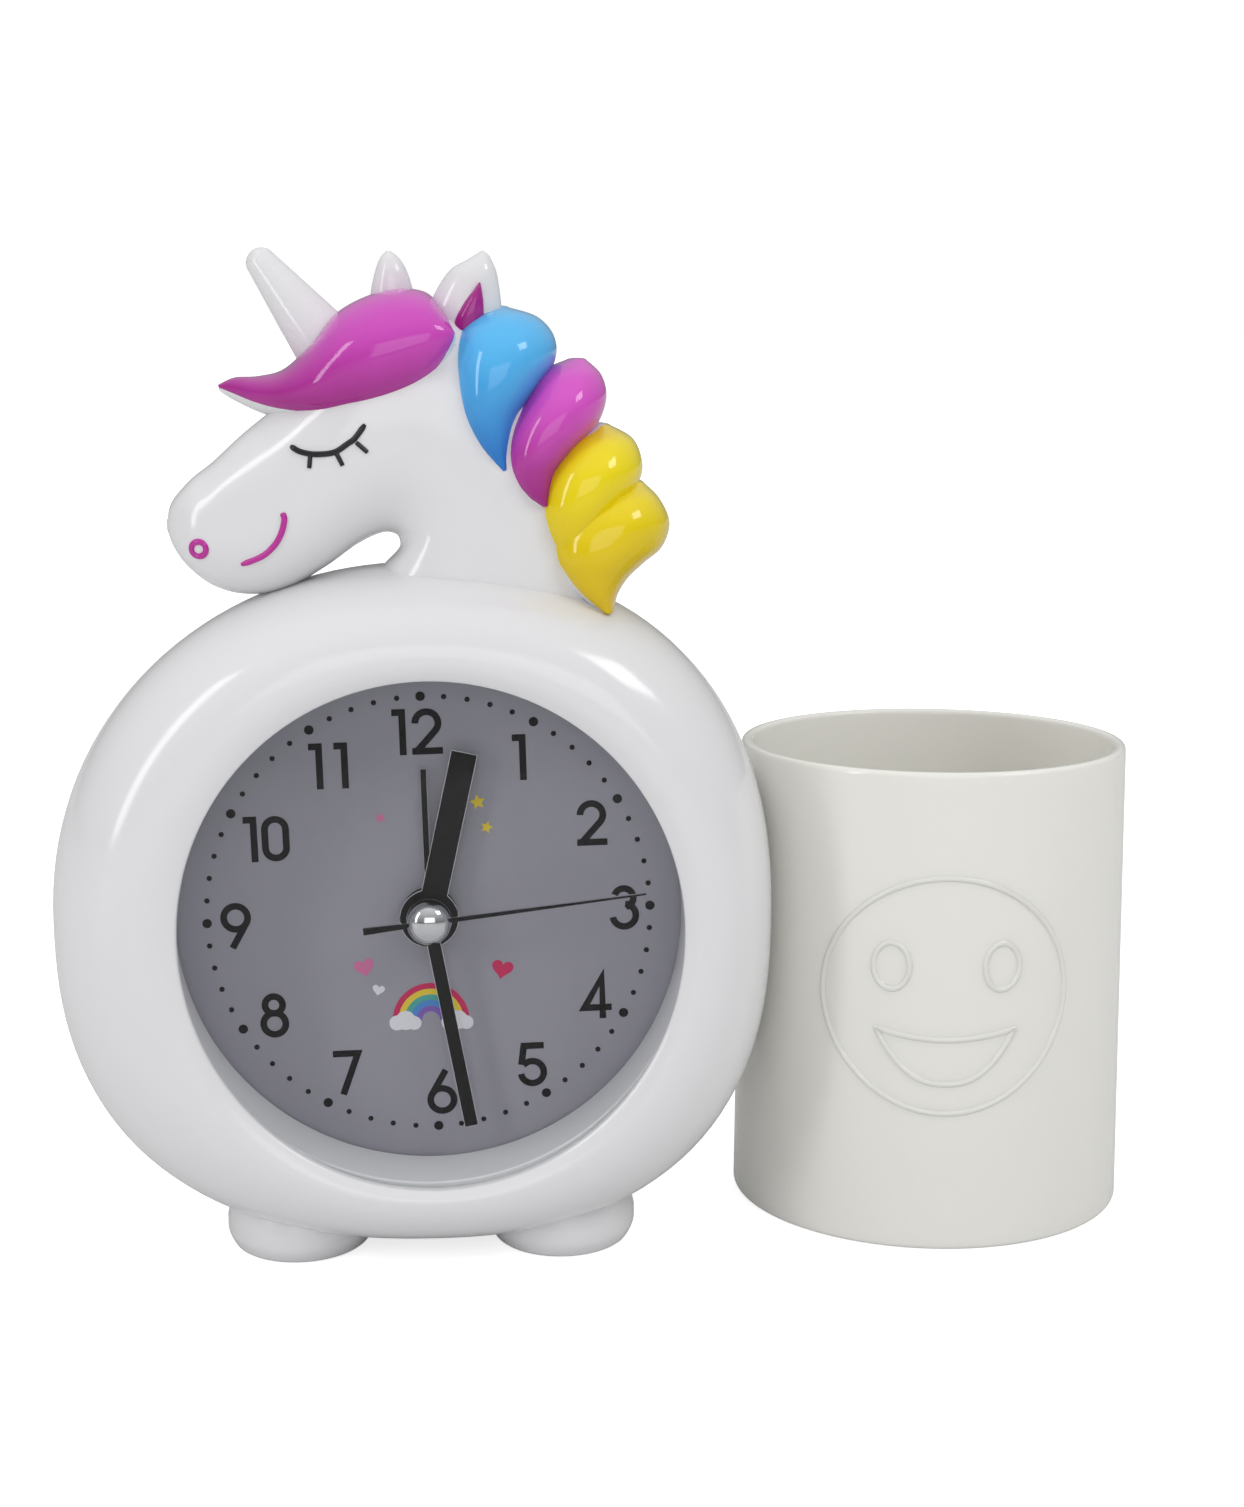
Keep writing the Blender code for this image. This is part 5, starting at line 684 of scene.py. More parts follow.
def cut(obj, *tools):
    """Cuts the tools out of a piece, with one exact Boolean whose result is kept."""
    group = bpy.data.collections.new(obj.name + "_tools")
    for item in tools:
        group.objects.link(item)
    step = obj.modifiers.new("cut", "BOOLEAN")
    step.operand_type = "COLLECTION"
    step.collection = group
    step.solver = "EXACT"
    bpy.context.view_layer.update()
    evaluated = obj.evaluated_get(bpy.context.evaluated_depsgraph_get())
    made = bpy.data.meshes.new_from_object(evaluated)
    obj.modifiers.clear()
    obj.data = smoothened(made)
    for item in tools:
        bpy.data.objects.remove(item, do_unlink=True)
    bpy.data.collections.remove(group)
    return obj


# Shapes
def turns(count):
    """Angles spread evenly round a circle."""
    return [tau * k / count for k in range(count)]


def polar(radius, angle, centre=(0.0, 0.0)):
    return (centre[0] + radius * cos(angle), centre[1] + radius * sin(angle))


def circle(radius, count, centre=(0.0, 0.0)):
    return [polar(radius, angle, centre) for angle in turns(count)]


def skin(name, rings, closed=False, keep_side=0.0):
    """A skin over rings of points, capped at both ends, or joined end to end if closed.

    keep_side keeps only the half in front of (1) or behind (-1) the seam plane.
    """
    bm = bmesh.new()
    rows = [[bm.verts.new(point) for point in ring] for ring in rings]
    count = len(rows[0])
    pairs = list(zip(rows, rows[1:])) + ([(rows[-1], rows[0])] if closed else [])
    for first, second in pairs:
        for k in range(count):
            after = (k + 1) % count
            bm.faces.new((first[k], first[after], second[after], second[k]))
    if not closed:
        bm.faces.new(rows[0])
        bm.faces.new(rows[-1])
    bmesh.ops.remove_doubles(bm, verts=bm.verts, dist=WELD)
    bmesh.ops.recalc_face_normals(bm, faces=bm.faces)
    if keep_side:
        side = Vector((0.0, 0.0, keep_side))
        bmesh.ops.bisect_plane(bm, geom=bm.verts[:] + bm.edges[:] + bm.faces[:], dist=WELD,
                               plane_co=side * SEAM / 2, plane_no=side, clear_inner=True)
        bmesh.ops.holes_fill(bm, edges=[edge for edge in bm.edges if edge.is_boundary])
        bmesh.ops.recalc_face_normals(bm, faces=bm.faces)
    mesh = bpy.data.meshes.new(name)
    bm.to_mesh(mesh)
    bm.free()
    return mesh


def turned(name, profile, steps=AROUND_DIAL, closed=False):
    """A solid turned about Z from points of radius and height."""
    return skin(name, [[(x, y, z) for x, y in circle(r, steps)] for r, z in profile], closed=closed)


def softened(profile, radius, steps=4, closed=False):
    """A profile whose corners are rounded by curves that start that far from them."""
    count = len(profile)
    found = []
    for i, corner in enumerate(profile):
        if not closed and i in (0, count - 1):
            found.append(corner)
            continue
        corner = Vector(corner)
        before, after = Vector(profile[i - 1]) - corner, Vector(profile[(i + 1) % count]) - corner
        start = corner + before.normalized() * min(radius, before.length / 2)
        end = corner + after.normalized() * min(radius, after.length / 2)
        for k in range(steps + 1):
            t = k / steps
            found.append(tuple(start * (1 - t) ** 2 + corner * 2 * t * (1 - t) + end * t ** 2))
    return found


def flat_piece(name, outlines, thickness, inset=0.0, rounding=0.0):
    """A flat piece from closed outlines, the first its edge and the rest its holes."""
    curve = bpy.data.curves.new(name, "CURVE")
    curve.dimensions = "2D"
    curve.fill_mode = "BOTH"
    curve.extrude = thickness / 2 - rounding
    curve.bevel_depth = rounding
    curve.bevel_resolution = 3
    curve.offset = -inset - rounding
    for outline in outlines:
        spline = curve.splines.new("POLY")
        spline.points.add(len(outline) - 1)
        spline.use_cyclic_u = True
        for point, (x, y) in zip(spline.points, outline):
            point.co = (x, y, 0.0, 1.0)
    return welded(name, curve)


def bead(name, points, radius, cyclic=False, start=0.6, end=0.6):
    """A round raised line that follows the points, its ends narrowed to these shares."""
    curve = bpy.data.curves.new(name, "CURVE")
    curve.dimensions = "3D"
    curve.bevel_depth = radius
    curve.bevel_resolution = 4
    curve.use_fill_caps = True
    spline = curve.splines.new("POLY")
    spline.points.add(len(points) - 1)
    spline.use_cyclic_u = cyclic
    for k, (point, place) in enumerate(zip(spline.points, points)):
        point.co = (*place, 1.0)
        if not cyclic:
            point.radius = min(1.0, start + 0.2 * k, end + 0.2 * (len(points) - 1 - k))
    return welded(name, curve)


def welded(name, curve):
    """The mesh of a curve, with its caps welded on."""
    source = bpy.data.objects.new(name + "_curve", curve)
    mesh = bpy.data.meshes.new_from_object(source)
    bpy.data.objects.remove(source, do_unlink=True)
    bm = bmesh.new()
    bm.from_mesh(mesh)
    bmesh.ops.remove_doubles(bm, verts=bm.verts, dist=WELD)
    bmesh.ops.recalc_face_normals(bm, faces=bm.faces)
    bm.to_mesh(mesh)
    bm.free()
    mesh.name = name
    return mesh


def moved(mesh, height):
    """The mesh, moved along Z."""
    mesh.transform(Matrix.Translation((0.0, 0.0, height)))
    return mesh


def joined(name, meshes):
    """One mesh from several."""
    bm = bmesh.new()
    for mesh in meshes:
        bm.from_mesh(mesh)
    whole = bpy.data.meshes.new(name)
    bm.to_mesh(whole)
    bm.free()
    return whole


def oblong(width, height, radius, centre=(0.0, 0.0)):
    """A rectangle with rounded corners."""
    x, y = centre
    corners = [(x + sx * width / 2, y + sy * height / 2) for sx, sy in ((1, 1), (-1, 1), (-1, -1), (1, -1))]
    return softened(corners, radius, 5, closed=True)


def tree_of(mesh):
    bm = bmesh.new()
    bm.from_mesh(mesh)
    tree = BVHTree.FromBMesh(bm)
    bm.free()
    return tree


def eased(value, fullness):
    """A sine or cosine bent towards a box by a superellipse's power."""
    return copysign(abs(value) ** (2 / fullness), value)


def smoothed(rows, steps):
    """Rows of numbers joined by a Catmull-Rom curve, with steps between two rows."""
    last = len(rows) - 1
    found = []
    for i in range(last):
        near = [rows[min(max(i + k, 0), last)] for k in (-1, 0, 1, 2)]
        for s in range(steps):
            t = s / steps
            found.append([
                0.5 * (2 * b + (c - a) * t + (2 * a - 5 * b + 4 * c - d) * t ** 2
                       + (3 * b - a - 3 * c + d) * t ** 3)
                for a, b, c, d in zip(*near)
            ])
    found.append(list(rows[last]))
    return found


# Body
def body_edge(sizes, angle):
    """Distance from the dial axis to the body's outline."""
    across, up = cos(angle), sin(angle)
    if up >= 0:
        fullness = UPPER_RIGHT_SHARE if across >= 0 else UPPER_LEFT_SHARE
    else:
        fullness = LOWER_RIGHT_SHARE if across >= 0 else LOWER_LEFT_SHARE
    width = sizes.right if across >= 0 else sizes.left
    height = sizes.top if up >= 0 else sizes.bottom
    return (abs(across / width) ** fullness + abs(up / height) ** fullness) ** (-1 / fullness)


def quarter(edge, crest_radius, start, crest, fullness, steps=14):
    """Radius and height from the parting plane to the crest, as a rounded quarter."""
    points = []
    for k in range(steps + 1):
        angle = k / steps * pi / 2
        radius = crest_radius + (edge - crest_radius) * eased(cos(angle), fullness)
        points.append((radius, start + (crest - start) * eased(sin(angle), fullness)))
    points[-1] = (crest_radius, crest)
    return points


def roll(crest_radius, crest, end_radius, end, steps=8):
    """Radius and height from just past the crest to the edge of an opening."""
    return [(crest_radius + (end_radius - crest_radius) * k / steps, crest + (end - crest) * (k / steps) ** 2)
            for k in range(1, steps + 1)]


def opening_edge(sizes, angle):
    """Distance from the dial axis to the front opening's edge."""
    return sizes.opening - 0.9 * MM * cos(angle) ** 2 + 0.7 * MM * cos(angle) + 0.7 * MM * max(-sin(angle), 0.0) ** 2


def front_section(sizes, angle):
    """The front shell's closed section: skin, rounded lip, lens seat and inner skin."""
    edge = body_edge(sizes, angle)
    opening = opening_edge(sizes, angle)
    crest_radius = edge - FRONT_CREST * (edge - sizes.opening)
    parting = -sizes.parting + SEAM / 2
    seat_top = sizes.opening_depth - sizes.lip
    tube_radius = sizes.seat + sizes.wall
    outer = quarter(edge, crest_radius, parting, sizes.front, FRONT_SHARE)
    outer += roll(crest_radius, sizes.front, opening, sizes.opening_depth)
    lip = softened([outer[-2], outer[-1], (opening, seat_top)], 0.5 * MM)[1:-1]
    inner = quarter(edge - sizes.wall, tube_radius, parting, sizes.front - sizes.wall, FRONT_SHARE, 5)
    return outer[:-1] + lip + [
        (opening, seat_top), (sizes.seat, seat_top), (sizes.seat, parting), (tube_radius, parting),
    ] + inner[::-1]


def rear_section(sizes, angle):
    """The rear shell's closed section: skin, recess wall, cover ledge and inner skin."""
    edge = body_edge(sizes, angle)
    crest_radius = edge - BACK_CREST * (edge - sizes.back_opening)
    parting = -sizes.parting - SEAM / 2
    tube_radius = sizes.back_opening + sizes.wall
    ledge_front = -(sizes.cover_depth - 1.6 * MM)
    outer = quarter(edge, crest_radius, parting, -sizes.back, BACK_SHARE)
    outer += roll(crest_radius, -sizes.back, sizes.back_opening, -sizes.back_edge)
    lip = softened([outer[-2], outer[-1], (sizes.back_opening, -sizes.cover_depth)], 0.6 * MM)[1:-1]
    inner = quarter(edge - sizes.wall, tube_radius, parting, -(sizes.back - sizes.wall), BACK_SHARE, 5)
    return outer[:-1] + lip + [
        (sizes.back_opening, -sizes.cover_depth), (sizes.ledge, -sizes.cover_depth),
        (sizes.ledge, ledge_front), (tube_radius, ledge_front),
    ] + inner[::-1]


def round_body(sizes, section):
    """Rings round the dial axis for a section that follows the body's outline."""
    angles = turns(AROUND_BODY)
    sections = [section(sizes, angle) for angle in angles]
    return [[(*polar(s[i][0], a), s[i][1]) for s, a in zip(sections, angles)] for i in range(len(sections[0]))]


def make_body(sizes):
    keep_white("front_housing", skin("front_housing", round_body(sizes, front_section), closed=True), DIAL_PLACE,
               "front_shell")
    mesh = skin("rear_housing", round_body(sizes, rear_section), closed=True)
    tree = tree_of(mesh)
    rear = keep_white("rear_housing", mesh, DIAL_PLACE, "rear_shell")
    drills = []
    for number in (1, 2, 3, 4):
        low, _, middle = dial_box("shell_screw_%d" % number)
        seat = low.z + SCREW_HEAD
        drill = [(0.0, 0.0), (WELL_RADIUS, 0.0), (WELL_RADIUS, DRILL_LENGTH), (0.0, DRILL_LENGTH)]
        drills.append(placed("drill_%d" % number, turned("drill", drill, AROUND_WELL),
                             dial_at(middle.x, middle.y, seat - DRILL_LENGTH)))
        keep_white("screw_well_%d" % number, screw_well(tree, middle.x, middle.y, seat), DIAL_PLACE)
    cut(rear, *drills)


def screw_well(tree, x, y, seat):
    """A tube from just under the rear skin down to a floor for the screw's head."""
    def ring(radius, height=None):
        points = []
        for px, py in circle(radius, AROUND_WELL, (x, y)):
            if height is None:
                hit = tree.ray_cast(Vector((px, py, -OUTSIDE)), Vector((0.0, 0.0, 1.0)))[0]
                points.append((px, py, hit.z + WELL_UNDER))
            else:
                points.append((px, py, height))
        return points

    bore, outer, floor = WELL_RADIUS + WELL_PLAY, WELL_RADIUS + WELL_WALL, seat + WELL_WALL
    return skin("screw_well", [ring(0.0, seat), ring(bore, seat), ring(bore), ring(outer), ring(outer, floor),
                               ring(0.0, floor)])


# Back
def lid_outline(play=0.0):
    """The battery lid's outline, a rectangle with a tab on its upper side, or its opening's with some play."""
    low, high, middle = dial_box("battery_door")
    right = (high.x - low.x - LID_LESS.x) / 2 + play
    top = (high.y - low.y - LID_LESS.y) / 2 + play
    tab, tip = LID_TAB_WIDTH / 2 + play, top + LID_TAB
    corners = [(right, -top), (right, top), (tab, top), (tab, tip), (-tab, tip), (-tab, top), (-right, top),
               (-right, -top)]
    return softened([(middle.x + x, middle.y - LID_TAB / 2 + y) for x, y in corners], 0.5 * MM, closed=True)


def make_back_plate():
    low, high, middle = dial_box("back_cover")
    switch, buzzer = dial_box("alarm_switch")[2], dial_box("buzzer")[2]
    outlines = [
        circle((high.x - low.x) / 2, AROUND_DIAL),
        lid_outline(LID_PLAY),
        oblong(*SWITCH_SLOT, 0.6 * MM, (switch.x + SWITCH_TRAVEL / 2, switch.y)),
        circle(SOUND_HOLE, 24, buzzer),
    ]
    outlines += [circle(KNOB_HOLE, 40, dial_box(node)[2]) for node in ("time_set_knob", "alarm_set_knob")]
    outlines += [circle(SOUND_HOLE, 24, place) for place in circle(SOUND_CIRCLE, 4, buzzer)]
    mesh = flat_piece("back_plate", outlines, high.z - low.z, rounding=PLATE_ROUNDING)
    keep_white("back_plate", mesh, dial_at(z=middle.z), "back_cover")


def make_battery_lid():
    """The battery door: its plate and tab, and three ridges for a fingernail."""
    low, high, middle = dial_box("battery_door")
    thick = high.z - low.z
    pieces = [flat_piece("lid_plate", [lid_outline()], thick, rounding=PLATE_ROUNDING)]
    for drop in LID_RIDGE_DROPS_MM:
        ridge = oblong(*LID_RIDGE, 0.25 * MM, (middle.x, high.y - drop * MM))
        pieces.append(moved(flat_piece("lid_ridge", [ridge], 0.8 * MM, rounding=0.15 * MM), -thick / 2))
    keep_white("battery_lid", joined("battery_lid", pieces), dial_at(z=middle.z), "battery_door",
               body="battery_door_body")


def make_knobs():
    """Two setting knobs: a fluted side, a rounded top and a pointer."""
    angles = turns(FLUTES * 8)
    for name, node, body in (("time_dial_knob", "time_set_knob", "time_setter"),
                             ("alarm_dial_knob", "alarm_set_knob", "alarm_setter")):
        low, high, middle = dial_box(node)
        radius, half = (high.x - low.x) / 2 - FLUTE_DEPTH, (high.z - low.z) / 2
        rings = []
        for share, height, flute in ((0.0, -half, 0.0), (0.84, -half, 0.0), (0.93, -half + 0.15 * MM, 0.3),
                                     (0.985, -half + 0.5 * MM, 0.8), (1.0, -half + 0.9 * MM, 1.0), (1.0, half, 1.0),
                                     (0.0, half, 0.0)):
            reach = [radius * share + flute * FLUTE_DEPTH * cos(FLUTES * a) for a in angles]
            rings.append([(*polar(r, a), height) for r, a in zip(reach, angles)])
        pointer = flat_piece(name, [oblong(*KNOB_POINTER, 0.4 * MM, (0.0, 0.9 * MM))], 0.6 * MM, rounding=0.15 * MM)
        keep_white(name, joined(name, [skin(name, rings), moved(pointer, -half)]), dial_at(*middle), node, body=body)


def make_switch():
    """The alarm switch's pad, with ribs for a fingertip."""
    low, _, middle = dial_box("alarm_switch")
    pieces = [flat_piece("switch_pad", [oblong(*SWITCH_PAD, 0.6 * MM)], 1.6 * MM, rounding=0.25 * MM)]
    for x in SWITCH_RIBS_MM:
        rib = flat_piece("switch_rib", [oblong(*SWITCH_RIB, 0.2 * MM, (x * MM, 0.0))], 0.5 * MM, rounding=0.1 * MM)
        pieces.append(moved(rib, -0.85 * MM))
    keep("switch_pad", joined("switch_pad", pieces), dial_at(middle.x, middle.y, low.z + 1.0 * MM), "black_abs",
         "alarm_switch_body", nodes=("alarm_switch",))


def make_cell():
    """The AA cell: a shrunk sleeve with a copper-coloured band, and its positive nub."""
    low, high, middle = dial_box("battery_cell")
    radius = max(high.y - low.y, high.z - low.z) / 2
    end = high.x - CELL_NUB
    band = end - CELL_BAND
    place = dial_at(0.0, middle.y, middle.z) @ Matrix.Rotation(radians(90), 4, "Y")
    for name, start, stop, wide, finish_name, nodes in (
            ("cell_sleeve", low.x, band, radius, "cell_sleeve", ("battery_cell",)),
            ("cell_band", band, end, radius, "cell_band", ()),
            ("cell_nub", end, high.x, CELL_NUB_RADIUS, "zinc_steel", ())):
        profile = softened([(0.0, start), (wide, start), (wide, stop), (0.0, stop)], 0.15 * MM)
        keep(name, turned(name, profile, 64), place, finish_name, nodes=nodes)


def make_screw_heads():
    """Pan heads with a cross recess, on every screw that can be seen."""
    dome = [(SCREW_HEAD_RADIUS * sin(a), 0.7 * MM + 0.85 * MM * cos(a)) for a in [k / 12 * pi / 2 for k in range(13)]]
    mesh = turned("screw_head", softened(dome + [(SCREW_HEAD_RADIUS, 0.1 * MM), (0.0, 0.1 * MM)], 0.1 * MM, 2), 40)
    places = {}
    for node in ["shell_screw_%d" % k for k in (1, 2, 3, 4)] + ["cover_screw_%d" % k for k in (1, 2, 3)]:
        low, _, middle = dial_box(node)
        places[node] = (dial_at(middle.x, middle.y, low.z + SCREW_HEAD) @ Matrix.Rotation(pi, 4, "X")
                        @ Matrix.Rotation(middle.x * SCREW_TURNS, 4, "Z"))
    for node in ("cup_screw_lower", "cup_screw_upper"):
        low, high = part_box(node)
        middle = (low + high) / 2
        places[node] = (Matrix.Translation((high.x - SCREW_HEAD, middle.y, middle.z))
                        @ Matrix.Rotation(radians(90), 4, "Y"))
    made = None
    for node, place in places.items():
        head = keep(node + "_head", made.data.copy() if made else mesh, place, "zinc_steel", nodes=(node,))
        if not made:
            slot = [oblong(2.6 * MM, 0.55 * MM, 0.1 * MM)]
            bars = [placed("driver_%d" % k, flat_piece("driver", slot, 1.6 * MM),
                           place @ Matrix.Rotation(k * pi / 2, 4, "Z") @ Matrix.Translation((0.0, 0.0, 1.5 * MM)))
                    for k in (0, 1)]
            made = cut(head, *bars)


def make_bracket():
    low, high, middle = dial_box("cup_bracket")
    into_cup = 0.4 * MM
    outline = oblong(high.x - low.x + into_cup, high.y - low.y, 1.5 * MM, (middle.x + into_cup / 2, middle.y))
    mesh = flat_piece("side_bracket", [outline], high.z - low.z, rounding=0.8 * MM)
    keep_white("side_bracket", mesh, dial_at(z=middle.z), "cup_bracket")


# Head
def head_point(sizes, x_share, y_share):
    return Vector((x_share * sizes.length - sizes.left, y_share * sizes.height + sizes.base, 0.0))


def ribs(sizes, rows, fullness, around=AROUND_LOCK, steps=RIB_STEPS, dome=0.2, depth=1.0):
    """Rings of a swelling form through ribs across it, with a dome over each end."""
    rings = []
    shares = [(x1 / 1000, y1 / 1000, x2 / 1000, y2 / 1000, thick / 100) for x1, y1, x2, y2, thick in rows]
    for x1, y1, x2, y2, thick in smoothed(shares, steps):
        first, second = head_point(sizes, x1, y1), head_point(sizes, x2, y2)
        middle, half = (first + second) / 2, (first - second) / 2
        swell = Vector((0.0, 0.0, thick * depth * sizes.thickness / 2))
        rings.append([
            middle + half * eased(cos(turn), fullness) + swell * eased(sin(turn), fullness)
            for turn in turns(around)
        ])
    return domed(domed(rings, dome)[::-1], dome)[::-1]


def domed(rings, dome, steps=5):
    """The rings with a dome before the first of them."""
    ring = rings[0]
    middle = sum(ring, Vector()) / len(ring)
    inward = sum(rings[1], Vector()) / len(ring) - middle
    width = min((ring[k] - ring[k + len(ring) // 2]).length / 2 for k in range(len(ring) // 2))
    reach = inward.normalized() * min(width, DOME_WIDTH) * -dome
    caps = []
    for k in range(steps, 0, -1):
        angle = k / steps * radians(85)
        caps.append([middle + (point - middle) * cos(angle) + reach * sin(angle) for point in ring])
    return caps + rings


def on_head(parting, forward=0.0):
    return dial_at(z=forward - parting)


def make_head(sizes, parting):
    place = on_head(parting)
    whole = ribs(sizes, HEAD_RIBS, HEAD_SHARE, around=64)
    for name, side, node in (("head_front_half", 1, "head_front"), ("head_rear_half", -1, "head_rear")):
        keep_white(name, skin(name, whole, keep_side=side), place, node)


def make_locks(sizes, parting):
    """The lacquered locks, each over a bed of bare plastic that shows as a thin white rim."""
    place = on_head(parting)
    for name, rows, coat, slot_name, nodes, rim_mm in (
        ("forelock_gloss", FORELOCK_RIBS, "magenta_lacquer", "magenta", ("forelock",), (0.1, -0.5)),
        ("blue_lock_gloss", BLUE_LOCK_RIBS, "blue_lacquer", "sky_blue", ("blue_lock",), (-0.45, -0.25)),
        ("pink_lock_gloss", PINK_LOCK_RIBS, "pink_lacquer", "magenta", ("pink_lock",), (-0.45, -0.25)),
        ("yellow_upper_gloss", YELLOW_UPPER_RIBS, "yellow_lacquer", "yellow", ("yellow_lock",), (-0.45, 0.1)),
        ("yellow_lower_gloss", YELLOW_LOWER_RIBS, "yellow_lacquer", "yellow", (), (-0.45, 0.0)),
    ):
        keep(name, skin(name, ribs(sizes, rows, LOCK_SHARE)), place, coat, nodes=nodes)
        bed = skin(name, ribs(sizes, rows, LOCK_SHARE, depth=BED_DEPTH))
        rim = Matrix.Translation((rim_mm[0] * MM, rim_mm[1] * MM, 0.0))
        keep_white(name.replace("gloss", "bed"), bed, place @ rim)


def make_ears_and_horn(sizes, parting):
    for name, rows, forward, coat, slot_name, node in (
        ("near_ear_form", NEAR_EAR_RIBS, 3.5 * MM, "white_abs", "white_body", "near_ear"),
        ("far_ear_form", FAR_EAR_RIBS, -3.5 * MM, "horn_white", "white_body", "far_ear"),
        ("ear_lining_form", EAR_LINING_RIBS, 6.8 * MM, "lining_lacquer", "magenta", "ear_lining"),
    ):
        mesh = skin(name, ribs(sizes, rows, EAR_SHARE))
        keep(name, mesh, on_head(parting, forward), coat, nodes=(node,))
    base = Vector(HORN_BASE_MM) * MM
    axis = Vector(HORN_TIP_MM) * MM - base
    lean = atan2(axis.x, axis.y)
    arc = [(sizes.horn_tip * sin(a), axis.length + sizes.horn_tip * cos(a))
           for a in [k / 10 * radians(70) for k in range(11)]]
    horn = turned("horn_form", arc + [(sizes.horn_base, 0.0), (0.0, 0.0)], 64)
    horn.transform(Matrix.Rotation(-lean, 4, "Z") @ Matrix.Rotation(radians(-90), 4, "X"))
    place = dial_at(base.x, base.y, -parting)
    keep("horn_form", horn, place, "horn_white", nodes=("horn",))


def on_cheek(tree, points, side, steps=6):
    """Points of a line laid on the head's near (1) or far (-1) cheek."""
    found = []
    for x, y in smoothed([(px * MM, py * MM) for px, py in points], steps):
        hit, normal, _, _ = tree.ray_cast(Vector((x, y, side * OUTSIDE)), Vector((0.0, 0.0, -side)))
        if hit is None:
            raise RuntimeError("A line of the face misses the head at %.4f, %.4f" % (x, y))
        found.append(hit - normal * LINE_SUNK)
    return found


def make_face(sizes, parting):
    tree = tree_of(skin("cheeks", ribs(sizes, HEAD_RIBS, HEAD_SHARE, around=64)))
    place = on_head(parting)
    ring = circle(1.15, 16, NOSTRIL_MM)
    for side, word in ((1, "near"), (-1, "far")):
        lines = [("eyelid", EYELID_MM, "black_paint", "black_case", 0.52, 0.6)]
        lines += [("lash_%d" % k, lash, "black_paint", "black_case", 0.42, 0.9) for k, lash in enumerate(LASHES_MM, 1)]
        lines += [("smile", SMILE_MM, "magenta_paint", "magenta", 0.55, 0.6)]
        for name, points, paint, slot_name, share, end in lines:
            laid = on_cheek(tree, points, side)
            full = "%s_%s" % (word, name)
            keep(full, bead(full, laid, sizes.line * share, start=end, end=end), place, paint)
        full = "%s_nostril" % word
        laid = on_cheek(tree, ring + ring[:1], side, 2)[:-1]
        keep(full, bead(full, laid, sizes.line * 0.55, cyclic=True), place, "magenta_paint")


# Feet and cup
def make_feet():
    dome = [(r * FOOT_RADIUS, h * FOOT_HEIGHT) for r, h in smoothed(FOOT_SHARES, 4)]
    edge = [(FOOT_RADIUS, 2.4 * MM), (FOOT_RADIUS - 0.48 * MM, 1.2 * MM), (FOOT_RADIUS - 1.2 * MM, 0.0), (0.0, 0.0)]
    profile = dome + softened([dome[-1]] + edge, 0.6 * MM)[1:]
    stretch = Matrix.Diagonal((1.0, FOOT_STRETCH, 1.0, 1.0))
    for name, node, x in (("left_foot", "foot_left", LEFT_FOOT_MM), ("right_foot", "foot_right", RIGHT_FOOT_MM)):
        mesh = turned(name, profile, 96)
        place = FLOOR_PLACE @ Matrix.Translation((x * MM, 3 * MM, 0.0)) @ stretch
        keep_white(name, mesh, place, node)


def cup_radius(sizes, height):
    return sizes.base + (sizes.rim - sizes.base) * height / sizes.height


def on_cup(sizes, x, height):
    """A point of the face, drawn flat and moved straight back to the cup's wall."""
    radius = cup_radius(sizes, height)
    return (x, 0.25 * MM - (radius ** 2 - x ** 2) ** 0.5, height)


def make_cup(sizes):
    inner_rim, inner_base = sizes.rim - sizes.wall, sizes.base - sizes.wall
    profile = [(0.0, sizes.floor), (inner_base, sizes.floor), (inner_rim, sizes.height), (sizes.rim, sizes.height),
               (sizes.base, 0.0), (0.0, 0.0)]
    mesh = turned("cup_wall", softened(profile, 0.9 * MM, 6), AROUND_CUP)
    keep("cup_wall", mesh, CUP_PLACE, "milk_polypropylene", nodes=("pen_cup",))
    centre = (0.0, sizes.face_height)
    lines = [("face_ring", [on_cup(sizes, *point) for point in circle(sizes.face_radius, AROUND_FACE, centre)])]
    for word, side in (("left", -1), ("right", 1)):
        eye = [on_cup(sizes, side * EYE_ASIDE + EYE_HALF[0] * cos(t), sizes.face_height + EYE_UP + EYE_HALF[1] * sin(t))
               for t in turns(AROUND_FACE)]
        lines.append(("face_%s_eye" % word, eye))
    top = sizes.face_height - MOUTH_DOWN
    mouth = []
    for side, sag, fullness in ((-1, 1.5 * MM, 2.0), (1, 8.9 * MM, 2.5)):
        for k in range(32):
            share = side * cos(k / 32 * pi)
            mouth.append(on_cup(sizes, share * MOUTH_HALF, top - sag * (1 - abs(share) ** fullness)))
    lines.append(("face_mouth", mouth))
    turned_place = CUP_PLACE @ Matrix.Rotation(-sizes.face_turn, 4, "Z")
    for name, points in lines:
        mesh = bead(name, points, sizes.ridge, cyclic=True)
        keep(name, mesh, turned_place, "milk_polypropylene")


# Dial
def make_window(body, sizes):
    seat = body.opening_depth - body.lip - SEAM
    back = seat - sizes.lens
    lens = softened([(0.0, seat), (sizes.radius, seat), (sizes.radius, back), (0.0, back)], 0.2 * MM)
    keep("lens_disc", turned("lens_disc", lens), DIAL_PLACE, "clear_polystyrene", nodes=("lens",))
    ring = softened([(sizes.radius, back - SEAM), (sizes.radius, SEAM), (sizes.bore, SEAM), (sizes.bore, back - SEAM)],
                    0.3 * MM, closed=True)
    keep_white("spacer_ring", turned("spacer_ring", ring, closed=True), DIAL_PLACE, "dial_ring")
    card = [(sizes.hole, 0.0), (sizes.radius, 0.0), (sizes.radius, -sizes.thickness), (sizes.hole, -sizes.thickness)]
    keep("dial_face", turned("dial_face", card, closed=True), DIAL_PLACE, "dial_card",
         nodes=("dial",))


